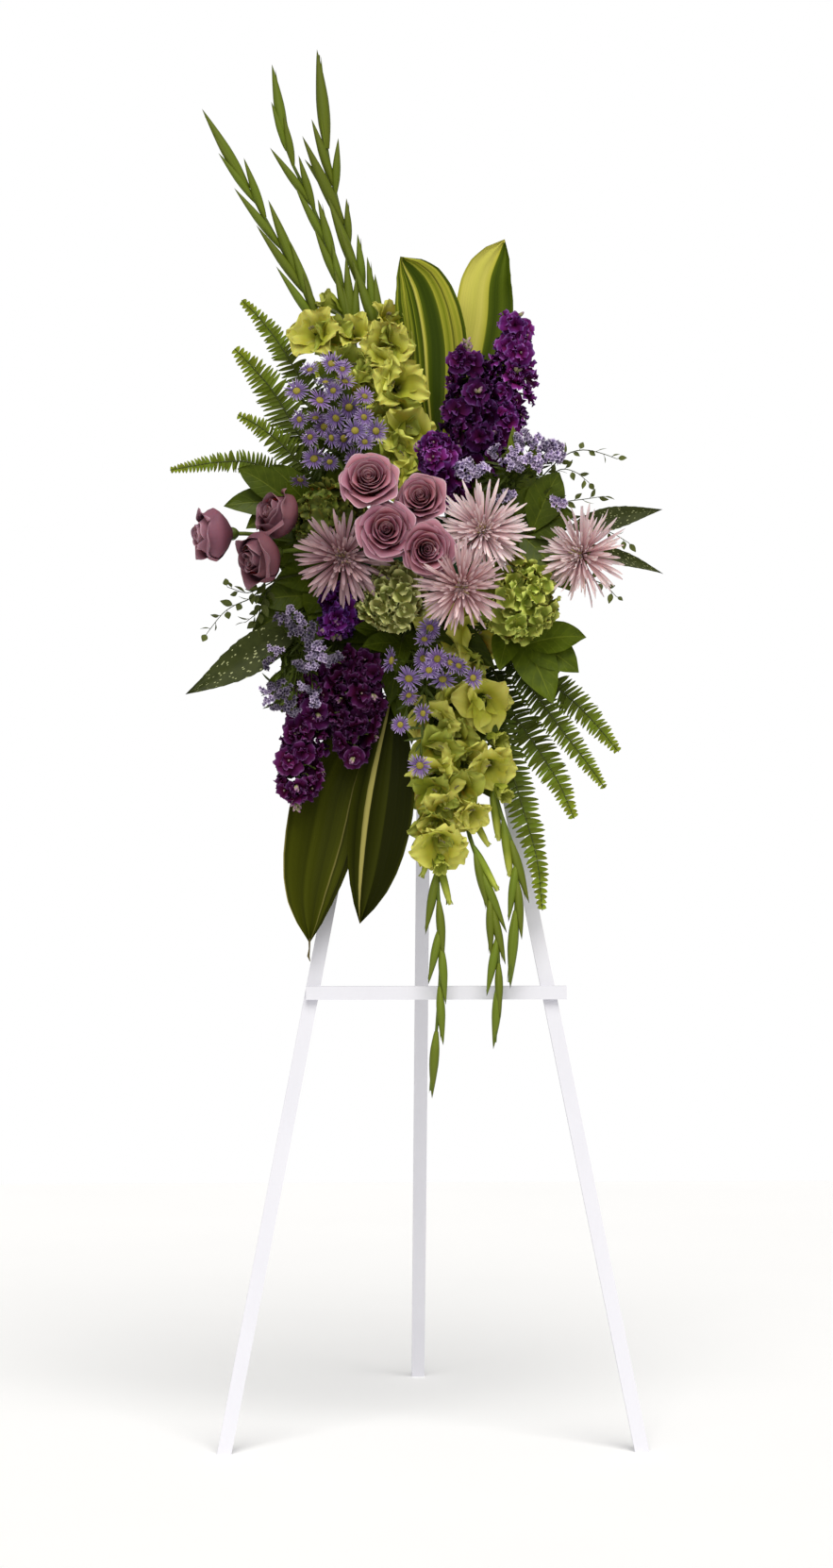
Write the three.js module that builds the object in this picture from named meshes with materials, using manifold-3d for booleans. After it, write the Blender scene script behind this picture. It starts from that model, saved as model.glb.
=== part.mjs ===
// A standing funeral spray: cut flowers and foliage in a block of wet foam, tied to a folding wooden easel.
// Millimetres, +Z up, seen from -Y. Every flower, spray, frond and large leaf is one mesh with its own stem,
// which stands in a plain hole in the foam.
import * as THREE from "three";
import { ConvexGeometry } from "three/addons/geometries/ConvexGeometry.js";
import { mergeVertices } from "three/addons/utils/BufferGeometryUtils.js";
import Module from "manifold-3d";

const wasm = await Module();
wasm.setup();

// Easel
const EASEL_HEIGHT = 1470;
const FEET_HALF_STANCE = 296;
const TOP_HALF_STANCE = 10.9;
const EASEL_LEAN = 260;
const REAR_FOOT_Y = 650;
const STICK_WIDTH = 20.4;
const STICK_DEPTH = 12.2;
const SEAT_GAP = 0.3;
const CROSSBAR = { x: 8, halfLength: 188, z: 645, height: 19, depth: 10 };
const HEAD_BOARD = { halfWidth: 34, bottom: 1392, top: 1466, depth: 9 };
const HINGE = {
  z: 1425,
  plate: 2.5,
  reach: 13.5,
  pinRadius: 3,
  pinClearance: 0.4,
  earGap: 0.7,
  ear: 2,
  half: 14,
};
const LEG_ABOVE_PIN = 15.5;

// Foam block and its tray, which lean with the easel
const FOAM = { x: -14, z: 1262, halfWidth: 115, halfHeight: 72, depth: 80 };
const TRAY = { wall: 2.5, rim: 25, clearance: 0.4, handleHalf: 15, handleTop: 1402 };
const TIE = { z: 1382, height: 5, wire: 1.6 };
const STEM_IN_FOAM = 20;
const STEM_CLEARANCE = 0.6;
const FACET_TOLERANCE = 0.5;

const GOLDEN_ANGLE = Math.PI * (3 - Math.sqrt(5));
const v3 = (p) => new THREE.Vector3(p[0], p[1], p[2]);
const mix = (a, b, t) => a.clone().lerp(b, t);
// An even scatter between 0 and 1 for the i-th piece of series k.
const vary = (i, k = 0) => (0.618034 * (i + 1) + 0.754878 * k) % 1;
const framePlane = (z) => (EASEL_LEAN * z) / EASEL_HEIGHT;

// Solids from rings of points

function toSolid(geometry) {
  geometry.deleteAttribute("normal");
  geometry.deleteAttribute("uv");
  const merged = mergeVertices(geometry, 1e-4);
  return new wasm.Manifold(
    new wasm.Mesh({
      numProp: 3,
      vertProperties: new Float32Array(merged.attributes.position.array),
      triVerts: new Uint32Array(merged.index.array),
    }),
  );
}

function facesToSolid(points, faces) {
  const build = (list) => {
    const g = new THREE.BufferGeometry();
    g.setAttribute("position", new THREE.Float32BufferAttribute(points.flatMap((p) => p.toArray()), 3));
    g.setIndex(list.flat());
    return toSolid(g);
  };
  const made = build(faces);
  return made.volume() > 0 ? made : build(faces.map(([a, b, c]) => [a, c, b]));
}

// The band of faces between two rings. A ring of one point is a tip.
function band(a, b) {
  const faces = [];
  const next = (ring, k) => ring.start + ((k + 1) % ring.size);
  const here = (ring, k) => ring.start + (k % ring.size);
  if (a.size === b.size) {
    for (let k = 0; k < a.size; k++) {
      if (k % 2) faces.push([here(a, k), next(a, k), here(b, k)], [next(a, k), next(b, k), here(b, k)]);
      else faces.push([here(a, k), next(a, k), next(b, k)], [here(a, k), next(b, k), here(b, k)]);
    }
    return faces;
  }
  const [endA, endB] = [a, b].map((ring) => (ring.size > 1 ? ring.size : 0));
  let [i, j] = [0, 0];
  while (i < endA || j < endB) {
    if (i < endA && (j >= endB || (i + 1) * endB <= (j + 1) * endA))
      faces.push([here(a, i), next(a, i++), here(b, j)]);
    else faces.push([here(a, i), next(b, j), here(b, j++)]);
  }
  return faces;
}

// A closed skin over rings of points, each wound the same way.
function loft(rings) {
  let start = 0;
  const spans = rings.map((ring) => {
    const span = { start, size: ring.length };
    start += ring.length;
    return span;
  });
  const faces = spans.slice(1).flatMap((span, i) => band(spans[i], span));
  const [first, last] = [spans[0], spans[spans.length - 1]];
  for (let k = 1; k + 1 < first.size; k++) faces.push([0, k + 1, k]);
  for (let k = 1; k + 1 < last.size; k++) faces.push([last.start, last.start + k, last.start + k + 1]);
  return facesToSolid(rings.flat(), faces);
}

const join = (solids) => wasm.Manifold.union(solids);

function hull(points, grow) {
  const centre = points.reduce((sum, p) => sum.add(p), new THREE.Vector3()).divideScalar(points.length);
  const grown = points.map((p) => p.clone().add(p.clone().sub(centre).setLength(grow)));
  return toSolid(new ConvexGeometry(grown));
}

function pointsOf(solid) {
  const { vertProperties, numProp } = solid.getMesh();
  const points = [];
  for (let i = 0; i < vertProperties.length; i += numProp) points.push(v3(vertProperties.slice(i, i + 3)));
  return points;
}

// Curves and frames

const curveOf = (points) => new THREE.CatmullRomCurve3(points.map(v3), false, "catmullrom", 0.5);

function axesFor(direction) {
  const d = direction.clone().normalize();
  const guide = Math.abs(d.z) > 0.95 ? new THREE.Vector3(0, 1, 0) : new THREE.Vector3(0, 0, 1);
  const right = new THREE.Vector3().crossVectors(guide, d).normalize();
  return { d, right, up: new THREE.Vector3().crossVectors(d, right) };
}

// The point at height h along the axis and radius r at the given angle round it.
const around = (base, axes, h, r, angle) =>
  base
    .clone()
    .addScaledVector(axes.d, h)
    .addScaledVector(axes.right, r * Math.cos(angle))
    .addScaledVector(axes.up, r * Math.sin(angle));

const ringAround = (base, axes, h, r, sides, turn = 0) =>
  Array.from({ length: sides }, (_, k) => around(base, axes, h, r, turn + (2 * Math.PI * k) / sides));

function tube(points, radii, sides) {
  let right = axesFor(points[1].clone().sub(points[0])).right;
  const rings = points.map((p, i) => {
    const before = points[Math.max(0, i - 1)];
    const after = points[Math.min(points.length - 1, i + 1)];
    const d = after.clone().sub(before).normalize();
    right = right.clone().addScaledVector(d, -right.dot(d)).normalize();
    const up = new THREE.Vector3().crossVectors(d, right);
    const r = Array.isArray(radii) ? radii[i] : radii;
    return Array.from({ length: sides }, (_, k) => {
      const a = (2 * Math.PI * k) / sides;
      return p.clone().addScaledVector(right, r * Math.cos(a)).addScaledVector(up, r * Math.sin(a));
    });
  });
  return loft(rings);
}

// A leaf or petal with a raised midrib: four points a ring, both faces split alike, and a pointed tip.
function blade({ points, halfWidths, face, thickness, fold = 0 }) {
  const rings = points.map((p, i) => {
    const before = points[Math.max(0, i - 1)];
    const after = points[Math.min(points.length - 1, i + 1)];
    const along = after.clone().sub(before).normalize();
    const across = new THREE.Vector3().crossVectors(along, face).normalize();
    const out = new THREE.Vector3().crossVectors(across, along).normalize();
    if (halfWidths[i] === 0) return [p];
    const risen = p.clone().addScaledVector(out, fold * halfWidths[i]);
    const edge = (side) => risen.clone().addScaledVector(across, side * halfWidths[i]);
    const middle = (side) => p.clone().addScaledVector(out, (side * thickness) / 2);
    return [edge(-1), middle(-1), edge(1), middle(1)];
  });
  return loft(rings);
}

// Sticks and boards

const rectangle = (x, y, z, halfX, halfY) => [
  new THREE.Vector3(x - halfX, y - halfY, z),
  new THREE.Vector3(x + halfX, y - halfY, z),
  new THREE.Vector3(x + halfX, y + halfY, z),
  new THREE.Vector3(x - halfX, y + halfY, z),
];

const stick = (foot, top) =>
  loft([foot, top].map(([x, y, z]) => rectangle(x, y, z, STICK_WIDTH / 2, STICK_DEPTH / 2)));

// A box that leans with the front frame; front and back are measured from the frame's middle plane.
const leaning = (x0, x1, front, back, z0, z1) =>
  loft(
    [z0, z1].map((z) =>
      rectangle((x0 + x1) / 2, framePlane(z) + (front + back) / 2, z, (x1 - x0) / 2, (back - front) / 2),
    ),
  );

const HINGE_BACK = STICK_DEPTH / 2 + SEAT_GAP + HEAD_BOARD.depth + SEAT_GAP;
const PIN_Y = framePlane(HINGE.z) + HINGE_BACK + HINGE.plate + HINGE.reach;

function rearLeg() {
  const slope = (REAR_FOOT_Y - PIN_Y) / HINGE.z;
  const top = HINGE.z + LEG_ABOVE_PIN;
  const leg = stick([0, REAR_FOOT_Y, 0], [0, PIN_Y - slope * LEG_ABOVE_PIN, top]);
  const holeRadius = HINGE.pinRadius + HINGE.pinClearance;
  const hole = new THREE.CylinderGeometry(holeRadius, holeRadius, 60, 8);
  hole.rotateZ(Math.PI / 2).translate(0, PIN_Y, HINGE.z);
  return leg.subtract(toSolid(hole));
}

function hingeBracket() {
  const inner = STICK_WIDTH / 2 + HINGE.earGap;
  const outer = inner + HINGE.ear;
  const low = HINGE.z - HINGE.half;
  const high = HINGE.z + HINGE.half;
  const plate = leaning(-outer - 6, outer + 6, HINGE_BACK, HINGE_BACK + HINGE.plate, low, high);
  const ears = [-1, 1].map((side) => {
    const [a, b] = side < 0 ? [-outer, -inner] : [inner, outer];
    return leaning(a, b, HINGE_BACK + 0.5, HINGE_BACK + HINGE.plate + HINGE.reach + 8, low, high);
  });
  const pin = new THREE.CylinderGeometry(HINGE.pinRadius, HINGE.pinRadius, 2 * outer + 4, 8);
  pin.rotateZ(Math.PI / 2).translate(0, PIN_Y, HINGE.z);
  return join([plate, ...ears, toSolid(pin)]).simplify(0.02);
}

const FOAM_BACK = -STICK_DEPTH / 2 - 2 * TRAY.clearance - TRAY.wall;
const FOAM_FRONT = FOAM_BACK - FOAM.depth;

function foamBox(grow = 0, front = FOAM_FRONT, back = FOAM_BACK) {
  const [w, h] = [FOAM.halfWidth + grow, FOAM.halfHeight + grow];
  return leaning(FOAM.x - w, FOAM.x + w, front, back, FOAM.z - h, FOAM.z + h);
}

function foamTray() {
  const rear = -STICK_DEPTH / 2 - TRAY.clearance;
  const floor = rear - TRAY.wall;
  const shell = foamBox(TRAY.clearance + TRAY.wall, floor - TRAY.rim, rear);
  const inside = foamBox(TRAY.clearance, floor - TRAY.rim - 20, floor);
  const foamTop = FOAM.z + FOAM.halfHeight;
  const handle = leaning(-TRAY.handleHalf, TRAY.handleHalf, floor, rear, foamTop, TRAY.handleTop);
  return join([shell.subtract(inside), handle]);
}

function tieWire() {
  const narrowing = (FEET_HALF_STANCE - TOP_HALF_STANCE) / EASEL_HEIGHT;
  const reach = FEET_HALF_STANCE - narrowing * (TIE.z - TIE.height);
  const half = reach + STICK_WIDTH / 2 + 1;
  const front = -STICK_DEPTH / 2 - TRAY.clearance - TRAY.wall - SEAT_GAP;
  const back = STICK_DEPTH / 2 + SEAT_GAP;
  const [z0, z1] = [TIE.z - TIE.height / 2, TIE.z + TIE.height / 2];
  const outer = leaning(-half - TIE.wire, half + TIE.wire, front - TIE.wire, back + TIE.wire, z0, z1);
  return outer.subtract(leaning(-half, half, front, back, z0 - 5, z1 + 5));
}

// Stems

const foamCentre = new THREE.Vector3(FOAM.x, framePlane(FOAM.z) + (FOAM_FRONT + FOAM_BACK) / 2, FOAM.z);

// Where the straight line from the foam's middle to a point leaves the foam, and a point of that line inside.
function holeTowards(target) {
  const local = target.clone().sub(foamCentre);
  local.y -= framePlane(local.z);
  const scale = Math.min(
    FOAM.halfWidth / Math.abs(local.x),
    FOAM.depth / 2 / Math.abs(local.y),
    FOAM.halfHeight / Math.abs(local.z),
  );
  const real = (k) => {
    const inFrame = local.clone().multiplyScalar(k);
    inFrame.y += framePlane(inFrame.z);
    return inFrame.add(foamCentre);
  };
  const mouth = real(scale);
  const inner = real(Math.max(scale * 0.35, scale - STEM_IN_FOAM / local.length()));
  return { mouth, inner };
}

// A bloom's stem: out of the foam on a straight line, then bent to meet the bloom's back.
function bloomStem(base, facing, toward = base) {
  const { mouth, inner } = holeTowards(toward);
  const reach = base.distanceTo(mouth);
  const bend = new THREE.CubicBezierCurve3(
    mouth,
    mouth.clone().add(mouth.clone().sub(inner).setLength(reach * 0.45)),
    base.clone().addScaledVector(facing, -reach * 0.3),
    base,
  );
  return [inner, ...[0.08, 0.4, 0.75, 1].map((t) => bend.getPoint(t))];
}

const stemOf = (points, radius, sides = 3) => ({
  solid: tube(points, radius, sides),
  clear: tube(
    [points[0].clone().lerp(points[1], -0.03), ...points.slice(1)],
    (Array.isArray(radius) ? radius : points.map(() => radius)).map((r) => r + STEM_CLEARANCE),
    sides,
  ),
});

// Flowers and leaves. Each maker returns a body to be cut clear of others, its stem, and the room it claims.

const ROOM_SIDES = 6;
const ROOM_GAP = 1.4;
const BLOOM_GAP = 5;

// The room of a bloom, from an outline of [height, radius] about its axis.
function roundRoom(base, axes, outline, scale) {
  const wide = 1 / Math.cos(Math.PI / ROOM_SIDES);
  const ring = ([h, r]) => ringAround(base, axes, h * scale, (r * scale + ROOM_GAP) * wide, ROOM_SIDES);
  return loft(outline.map(ring));
}

// A floret on a thin neck that starts at its foot. Its rim goes out to each tip and in to the notch between
// two tips. Each of tip and notch is [height, radius] from the floret's centre. Root is how far below that
// the neck ends.
function floret(foot, centre, direction, { tips, tip, notch, root, crown, neck, turn = 0 }) {
  const axes = axesFor(direction);
  const rim = Array.from({ length: 2 * tips }, (_, k) => {
    const [h, r] = k % 2 ? notch : tip;
    return around(centre, axes, h, r, turn + (Math.PI * k) / tips);
  });
  const throat = around(centre, axes, -root, 0, 0);
  const along = throat.clone().sub(foot).normalize();
  const right = axes.right.clone().addScaledVector(along, -axes.right.dot(along)).normalize();
  const neckAxes = { d: along, right, up: new THREE.Vector3().crossVectors(along, right) };
  const necks = [foot, throat].map((p) => ringAround(p, neckAxes, 0, neck, 3, turn));
  const top = around(centre, axes, crown, 0, 0);
  const tipsOnly = rim.filter((_, k) => k % 2 === 0);
  return { solid: loft([...necks, rim, [top]]), room: [throat, top, ...tipsOnly] };
}

// Rose: one skin that rises to the rim of each ring of petals and falls again inside it.
// [height, radius, 1 for a rim] in rose radii
const ROSE_PETALS = 5;
const ROSE_TWIST = 0.16;
const ROSE_OUTLINE = [
  [-0.16, 0.1, 0],
  [-0.02, 0.36, 0],
  [0.28, 0.82, 0],
  [0.6, 1, 1],
  [0.2, 0.68, 0],
  [0.84, 0.76, 1],
  [0.4, 0.44, 0],
  [0.98, 0.46, 1],
];
const ROSE_HEART = 0.66;
const ROSE_DEPTH = 0.8;

function rose({ at, facing, radius, open = 1 }) {
  const axes = axesFor(v3(facing));
  const base = v3(at).addScaledVector(axes.d, -ROSE_DEPTH * radius);
  const spread = 0.5 + 0.5 * open;
  const stretch = 1.3 - 0.3 * open;
  const rings = ROSE_OUTLINE.map(([h, r, rim], i) =>
    Array.from({ length: 2 * ROSE_PETALS }, (_, k) => {
      const peak = (k + (i >> 1)) % 2;
      const reach = rim ? r * (peak ? 1.05 : 0.86) : r;
      const height = rim ? h + (peak ? 0.05 : -0.14) : h;
      const angle = (Math.PI * k) / ROSE_PETALS + ROSE_TWIST * i;
      const wide = i < 2 ? 1 : spread;
      return around(base, axes, height * radius * stretch, reach * radius * wide, angle);
    }),
  );
  const body = loft([...rings, [around(base, axes, ROSE_HEART * radius * stretch, 0, 0)]]);
  const outline = [
    [-0.18, 0.14], [0.08, 0.72 * spread + 0.1], [0.5, 1.1 * spread], [1.1 * stretch, 0.88 * spread],
  ];
  return { body, room: [roundRoom(base, axes, outline, radius)], stem: stemOf(bloomStem(base, axes.d), 3.6) };
}

// A ring for a ragged rim: each petal has two outer corners, and a notch parts it from the next.
function petalRing(base, axes, { petals, height, radius, notch, width, turn, lift, series }) {
  return Array.from({ length: petals }, (_, k) => {
    const angle = turn + (2 * Math.PI * k) / petals;
    const reach = radius * (1 - 0.16 * vary(k, series));
    const raise = height + lift * (vary(k, series + 3) - 0.5);
    const half = (width / 2 / reach) * (radius > notch ? 1 : 0.4);
    return [
      around(base, axes, raise, reach, angle - half),
      around(base, axes, raise + lift * 0.3, reach, angle + half),
      around(base, axes, height, notch, angle + Math.PI / petals),
    ];
  }).flat();
}

// Spider chrysanthemum: one skin that runs out to each tier's tips and back to a narrow root between tiers.
// [height, radius at the tips, radius at the notches] in flower radii
const MUM_QUILLS = 8;
const MUM_TIERS = [
  [0.02, 1.06, 0.2],
  [0.16, 0.2, 0.18],
  [0.34, 0.95, 0.18],
  [0.28, 0.15, 0.14],
  [0.52, 0.62, 0.14],
];
const MUM_DEPTH = 0.3;

function mum({ at, facing, radius }) {
  const axes = axesFor(v3(facing));
  const base = v3(at).addScaledVector(axes.d, -MUM_DEPTH * radius);
  const rings = MUM_TIERS.map(([height, reach, notch], tier) =>
    petalRing(base, axes, {
      petals: MUM_QUILLS,
      height: height * radius,
      radius: reach * radius,
      notch: notch * radius,
      width: 0.085 * radius,
      turn: (Math.PI * (tier >> 1)) / MUM_QUILLS,
      lift: tier % 2 ? 0 : 0.14 * radius,
      series: tier,
    }),
  );
  const onAxis = (h) => [around(base, axes, h * radius, 0, 0)];
  const body = loft([onAxis(-0.12), ...rings, onAxis(0.4)]);
  const outline = [[-0.12, 0.2], [-0.08, 1.08], [0.46, 0.96], [0.66, 0.62]];
  return { body, room: [roundRoom(base, axes, outline, radius)], stem: stemOf(bloomStem(base, axes.d), 3.2) };
}

// Hydrangea: a round head covered by four-petalled florets.
const HYDRANGEA_FLORETS = 9;

function hydrangea({ at, facing, radius }) {
  const axes = axesFor(v3(facing));
  const middle = v3(at).addScaledVector(axes.d, -0.7 * radius);
  const parts = [
    loft([
      ringAround(middle, axes, -0.4 * radius, 0.2 * radius, 5),
      ringAround(middle, axes, 0.05 * radius, 0.68 * radius, 5),
      ringAround(middle, axes, 0.5 * radius, 0.48 * radius, 5),
      [around(middle, axes, 0.72 * radius, 0, 0)],
    ]),
  ];
  for (let i = 0; i < HYDRANGEA_FLORETS; i++) {
    const polar = Math.acos(1 - (1.12 * (i + 0.5)) / HYDRANGEA_FLORETS);
    const out = around(new THREE.Vector3(), axes, Math.cos(polar), Math.sin(polar), i * GOLDEN_ANGLE);
    const place = middle.clone().addScaledVector(out, radius * (0.84 + 0.08 * vary(i)));
    parts.push(
      floret(middle.clone().addScaledVector(out, radius * 0.4), place, out, {
        tips: 4,
        tip: [0.1 * radius, 0.4 * radius],
        notch: [0, 0.26 * radius],
        root: 0.14 * radius,
        crown: 0.03 * radius,
        neck: 0.1 * radius,
        turn: 3 * vary(i, 2),
      }).solid,
    );
  }
  const base = middle.clone().addScaledVector(axes.d, -0.35 * radius);
  const outline = [[-0.7, 0.7], [-0.4, 1.1], [0.4, 1.15], [1.1, 0.5]];
  return {
    body: join(parts),
    room: [roundRoom(middle, axes, outline, radius)],
    stem: stemOf(bloomStem(base, axes.d), 3.6),
  };
}

// A pointed bud, rooted in the stem at its foot.
function bud(foot, direction, length, radius) {
  const axes = axesFor(direction);
  const onAxis = (h) => [around(foot, axes, h, 0, 0)];
  const rings = [onAxis(-2), ringAround(foot, axes, length * 0.4, radius, 3), onAxis(length)];
  return { solid: loft(rings), room: hull(rings.flat(), ROOM_GAP) };
}

// Gladiolus bloom: a trumpet whose rim opens into broad tepals.
const TEPALS = 5;

function gladiolusBloom(foot, direction, radius) {
  const axes = axesFor(direction);
  const length = radius * 1.2;
  const rim = Array.from({ length: 2 * TEPALS }, (_, k) => {
    const reach = k % 2 ? 0.7 : 0.94 + 0.1 * vary(k, 1);
    const height = k % 2 ? 0.8 : 0.94 + 0.1 * vary(k, 3);
    return around(foot, axes, length * height, radius * reach, (Math.PI * k) / TEPALS);
  });
  const rings = [
    [around(foot, axes, -2, 0, 0)],
    ringAround(foot, axes, length * 0.5, radius * 0.28, TEPALS),
    rim,
    [around(foot, axes, length * 0.42, 0, 0)],
  ];
  const tips = rim.filter((_, k) => k % 2 === 0);
  return { solid: loft(rings), room: hull([foot, ...tips], BLOOM_GAP) };
}

// Gladiolus spike: a stem with blooms low down and buds that get smaller towards the tip.
function gladiolus({ path, blooms, buds }) {
  const curve = curveOf(path);
  const last = path.length - 1;
  const at = (station) => curve.getPoint(Math.min(1, station / last));
  const count = path.length + 1;
  const line = Array.from({ length: count + 1 }, (_, i) => at((i * last) / count));
  const radii = line.map((_, i) => 4 - (2.6 * i) / count);
  const outward = new THREE.Vector3(0, -1, 0);
  const tipFoot = at(last - 0.45);
  const heads = [bud(tipFoot, at(last).sub(tipFoot).normalize(), tipFoot.distanceTo(at(last)), 5)];
  for (let i = 0; i < buds.count; i++) {
    const share = i / (buds.count - 1);
    const station = last - 0.6 - share * buds.reach;
    const along = at(station + 0.4).sub(at(station)).normalize();
    const side = new THREE.Vector3().crossVectors(along, outward).normalize();
    const lean = side.multiplyScalar(i % 2 ? 0.17 : -0.17).addScaledVector(outward, 0.08);
    heads.push(bud(at(station), along.add(lean).normalize(), 56 + 42 * share, 7 + 3.5 * share));
  }
  blooms.forEach(([station, direction, radius]) =>
    heads.push(gladiolusBloom(at(station), v3(direction), radius)),
  );
  return {
    body: join(heads.map((h) => h.solid)),
    room: heads.map((h) => h.room),
    stem: stemOf(line, radii),
  };
}

// Stock: a spike of ruffled florets, in one skin that goes out and in along the stem.
const STOCK_WHORLS = 5;
const STOCK_FLORETS = 5;
const STOCK_ROOM = [1.1, 1.4, 1.4, 1];

function stock({ path, radius, from }) {
  const curve = curveOf(path);
  const start = from / (path.length - 1);
  const at = (share) => curve.getPoint(start + (1 - start) * share);
  const line = Array.from({ length: 5 }, (_, i) => curve.getPoint(i / 4));
  const axes = axesFor(at(0.9).sub(at(0.1)));
  const rings = Array.from({ length: 2 * STOCK_WHORLS }, (_, i) => {
    const share = (i + 0.5) / (2 * STOCK_WHORLS);
    const outer = i % 2 === 0;
    const taper = 1 - 0.55 * Math.max(0, (share - 0.5) / 0.5);
    return petalRing(at(share), axes, {
      petals: STOCK_FLORETS,
      height: 0,
      radius: radius * taper * (outer ? 1.15 : 0.34),
      notch: radius * taper * (outer ? 0.4 : 0.3),
      width: outer ? radius * 0.66 * taper : radius * 0.3,
      turn: 0.63 * (i >> 1),
      lift: outer ? radius * 0.6 : 0,
      series: i,
    });
  });
  const outline = [at(-0.1), at(0.15), at(0.7), at(1.08)].map((p, i) =>
    ringAround(p, axes, 0, radius * STOCK_ROOM[i], ROOM_SIDES),
  );
  return { body: loft([[at(-0.03)], ...rings, [at(1)]]), room: [loft(outline)], stem: stemOf(line, 3) };
}

// A branching spray: thin stalks from one stem, each with a head at its end.
const ASTER = { tips: 5, tip: [1.5, 17], notch: [0.5, 9.5], root: 4, crown: 2.5, neck: 1.2 };
const STATICE = { tips: 4, tip: [3, 13], notch: [0, 8.5], root: 6, crown: 2, neck: 1.2 };

function spray({ stem, fork, heads, head }) {
  const forkPoint = v3(fork);
  const start = v3(stem);
  const line = [...bloomStem(start, forkPoint.clone().sub(start).normalize()), forkPoint];
  const flowers = heads.map((place, i) => {
    const centre = v3(place);
    const foot = mix(start, forkPoint, 0.3 + 0.65 * vary(i, 1));
    const facing = new THREE.Vector3((centre.x - forkPoint.x) * 0.004, -1, (centre.z - forkPoint.z) * 0.004);
    return floret(foot, centre, facing.normalize(), { ...head, turn: vary(i, 6) });
  });
  return {
    body: join(flowers.map((f) => f.solid)),
    room: flowers.map((f) => hull(f.room, BLOOM_GAP)),
    stem: stemOf(line, 2.4),
  };
}

// A leaf from its foot to its tip, sagging a little between them.
const LEAF_PROFILE = [0.12, 0.86, 0.9, 0];

function leaf(foot, tip, halfWidth, face, shape = {}) {
  const { profile = LEAF_PROFILE, sag = 0.06, thickness = 1.6, fold = 0.2 } = shape;
  const length = foot.distanceTo(tip);
  const points = profile.map((_, i) => {
    const t = i / (profile.length - 1);
    return mix(foot, tip, t).add(new THREE.Vector3(0, 0, sag * length * 4 * t * (1 - t)));
  });
  return blade({ points, halfWidths: profile.map((p) => p * halfWidth), face, thickness, fold });
}

// A leafy stem: a line through the given points, with a leaf from each foot on or near it.
function leafyStem({ path, leaves, radius = 2.2, face = [0, -1, 0.2], options }) {
  const curve = curveOf(path);
  const line = Array.from({ length: 4 }, (_, i) => curve.getPoint(i / 3));
  const blades = leaves.map(([station, tip, halfWidth]) => {
    const foot = curve.getPoint(station / (path.length - 1));
    return leaf(foot, v3(tip), halfWidth, v3(face), options);
  });
  return {
    body: join(blades),
    room: blades.map((s) => hull(pointsOf(s), 0.7)),
    stem: stemOf(line, radius),
  };
}

// A broad strap leaf on a stalk, along its midrib.
const STRAP_PROFILE = [0.09, 0.45, 0.82, 1, 0.93, 0.66, 0.24, 0];

function strapLeaf({ path, from, halfWidth, face = [0, -1, 0] }) {
  const curve = curveOf(path);
  const start = from / (path.length - 1);
  const line = Array.from({ length: 4 }, (_, i) => curve.getPoint((start * i) / 3));
  const last = STRAP_PROFILE.length - 1;
  const points = STRAP_PROFILE.map((_, i) => curve.getPoint(start + ((1 - start) * i) / last));
  const shape = (grow) =>
    blade({
      points,
      halfWidths: STRAP_PROFILE.map((p) => (p ? p * halfWidth + grow : 0)),
      face: v3(face),
      thickness: 1.8 + 2 * grow,
      fold: 0.16,
    });
  return { body: shape(0), room: [shape(0.8)], stem: stemOf(line, 3.2) };
}

// Sword fern frond: a thin blade whose leaflets are cut to the rib.
const FERN_PAIRS = 8;

function fern({ path, from, halfWidth, face = [0, -1, 0.1] }) {
  const curve = curveOf(path);
  const start = from / (path.length - 1);
  const line = Array.from({ length: 4 }, (_, i) => curve.getPoint((start * i) / 3));
  const facing = v3(face);
  const points = [];
  const faces = [];
  const thickness = 1.1;
  const station = (t) => {
    const p = curve.getPoint(t);
    const along = curve.getTangent(t);
    const across = new THREE.Vector3().crossVectors(along, facing).normalize();
    return { p, along, across, out: new THREE.Vector3().crossVectors(across, along).normalize() };
  };
  // Adds a point on the upper and the lower face, and returns the upper one's number.
  const add = (p, out) => {
    const skin = (side) => p.clone().addScaledVector(out, (side * thickness) / 2);
    points.push(skin(1), skin(-1));
    return points.length - 2;
  };
  const sheet = (a, b, c) => faces.push([a, b, c], [a + 1, c + 1, b + 1]);
  const wall = (a, b) => faces.push([a, a + 1, b + 1], [a, b + 1, b]);
  const ribs = [];
  for (let i = 0; i <= FERN_PAIRS; i++) {
    const { p, across, out } = station(start + (1 - start) * (i / FERN_PAIRS) * 0.985);
    const half = 2.4 - (1.4 * i) / FERN_PAIRS;
    const edge = (side) => add(p.clone().addScaledVector(across, side * half), out);
    ribs.push([edge(-1), edge(1)]);
  }
  for (let i = 0; i < FERN_PAIRS; i++) {
    const share = (i + 0.5) / FERN_PAIRS;
    const { p, along, across, out } = station(start + (1 - start) * share);
    const reach = halfWidth * Math.min(1, 0.55 + share * 1.6) * (1 - Math.pow(share, 2.6) * 0.85);
    const [l0, r0] = ribs[i];
    const [l1, r1] = ribs[i + 1];
    sheet(l0, l1, r1);
    sheet(l0, r1, r0);
    [-1, 1].forEach((side) => {
      const tip = add(
        p
          .clone()
          .addScaledVector(across, side * reach)
          .addScaledVector(along, reach * 0.22)
          .addScaledVector(out, -reach * 0.1),
        out,
      );
      const [a, b] = side < 0 ? [l0, l1] : [r1, r0];
      sheet(a, tip, b);
      wall(a, tip);
      wall(tip, b);
    });
  }
  const [lo, hi] = [ribs[0], ribs[FERN_PAIRS]];
  wall(lo[1], lo[0]);
  wall(hi[0], hi[1]);
  const body = facesToSolid(points, faces);
  const edge = [0, 0.25, 0.6, 1].map((t) => curve.getPoint(start + (1 - start) * t));
  const widest = [halfWidth * 0.75, halfWidth * 1.1, halfWidth * 0.95, halfWidth * 0.25];
  const room = blade({ points: edge, halfWidths: widest, face: facing, thickness: 6 });
  return { body, room: [room], stem: stemOf(line, 2.2) };
}

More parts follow.
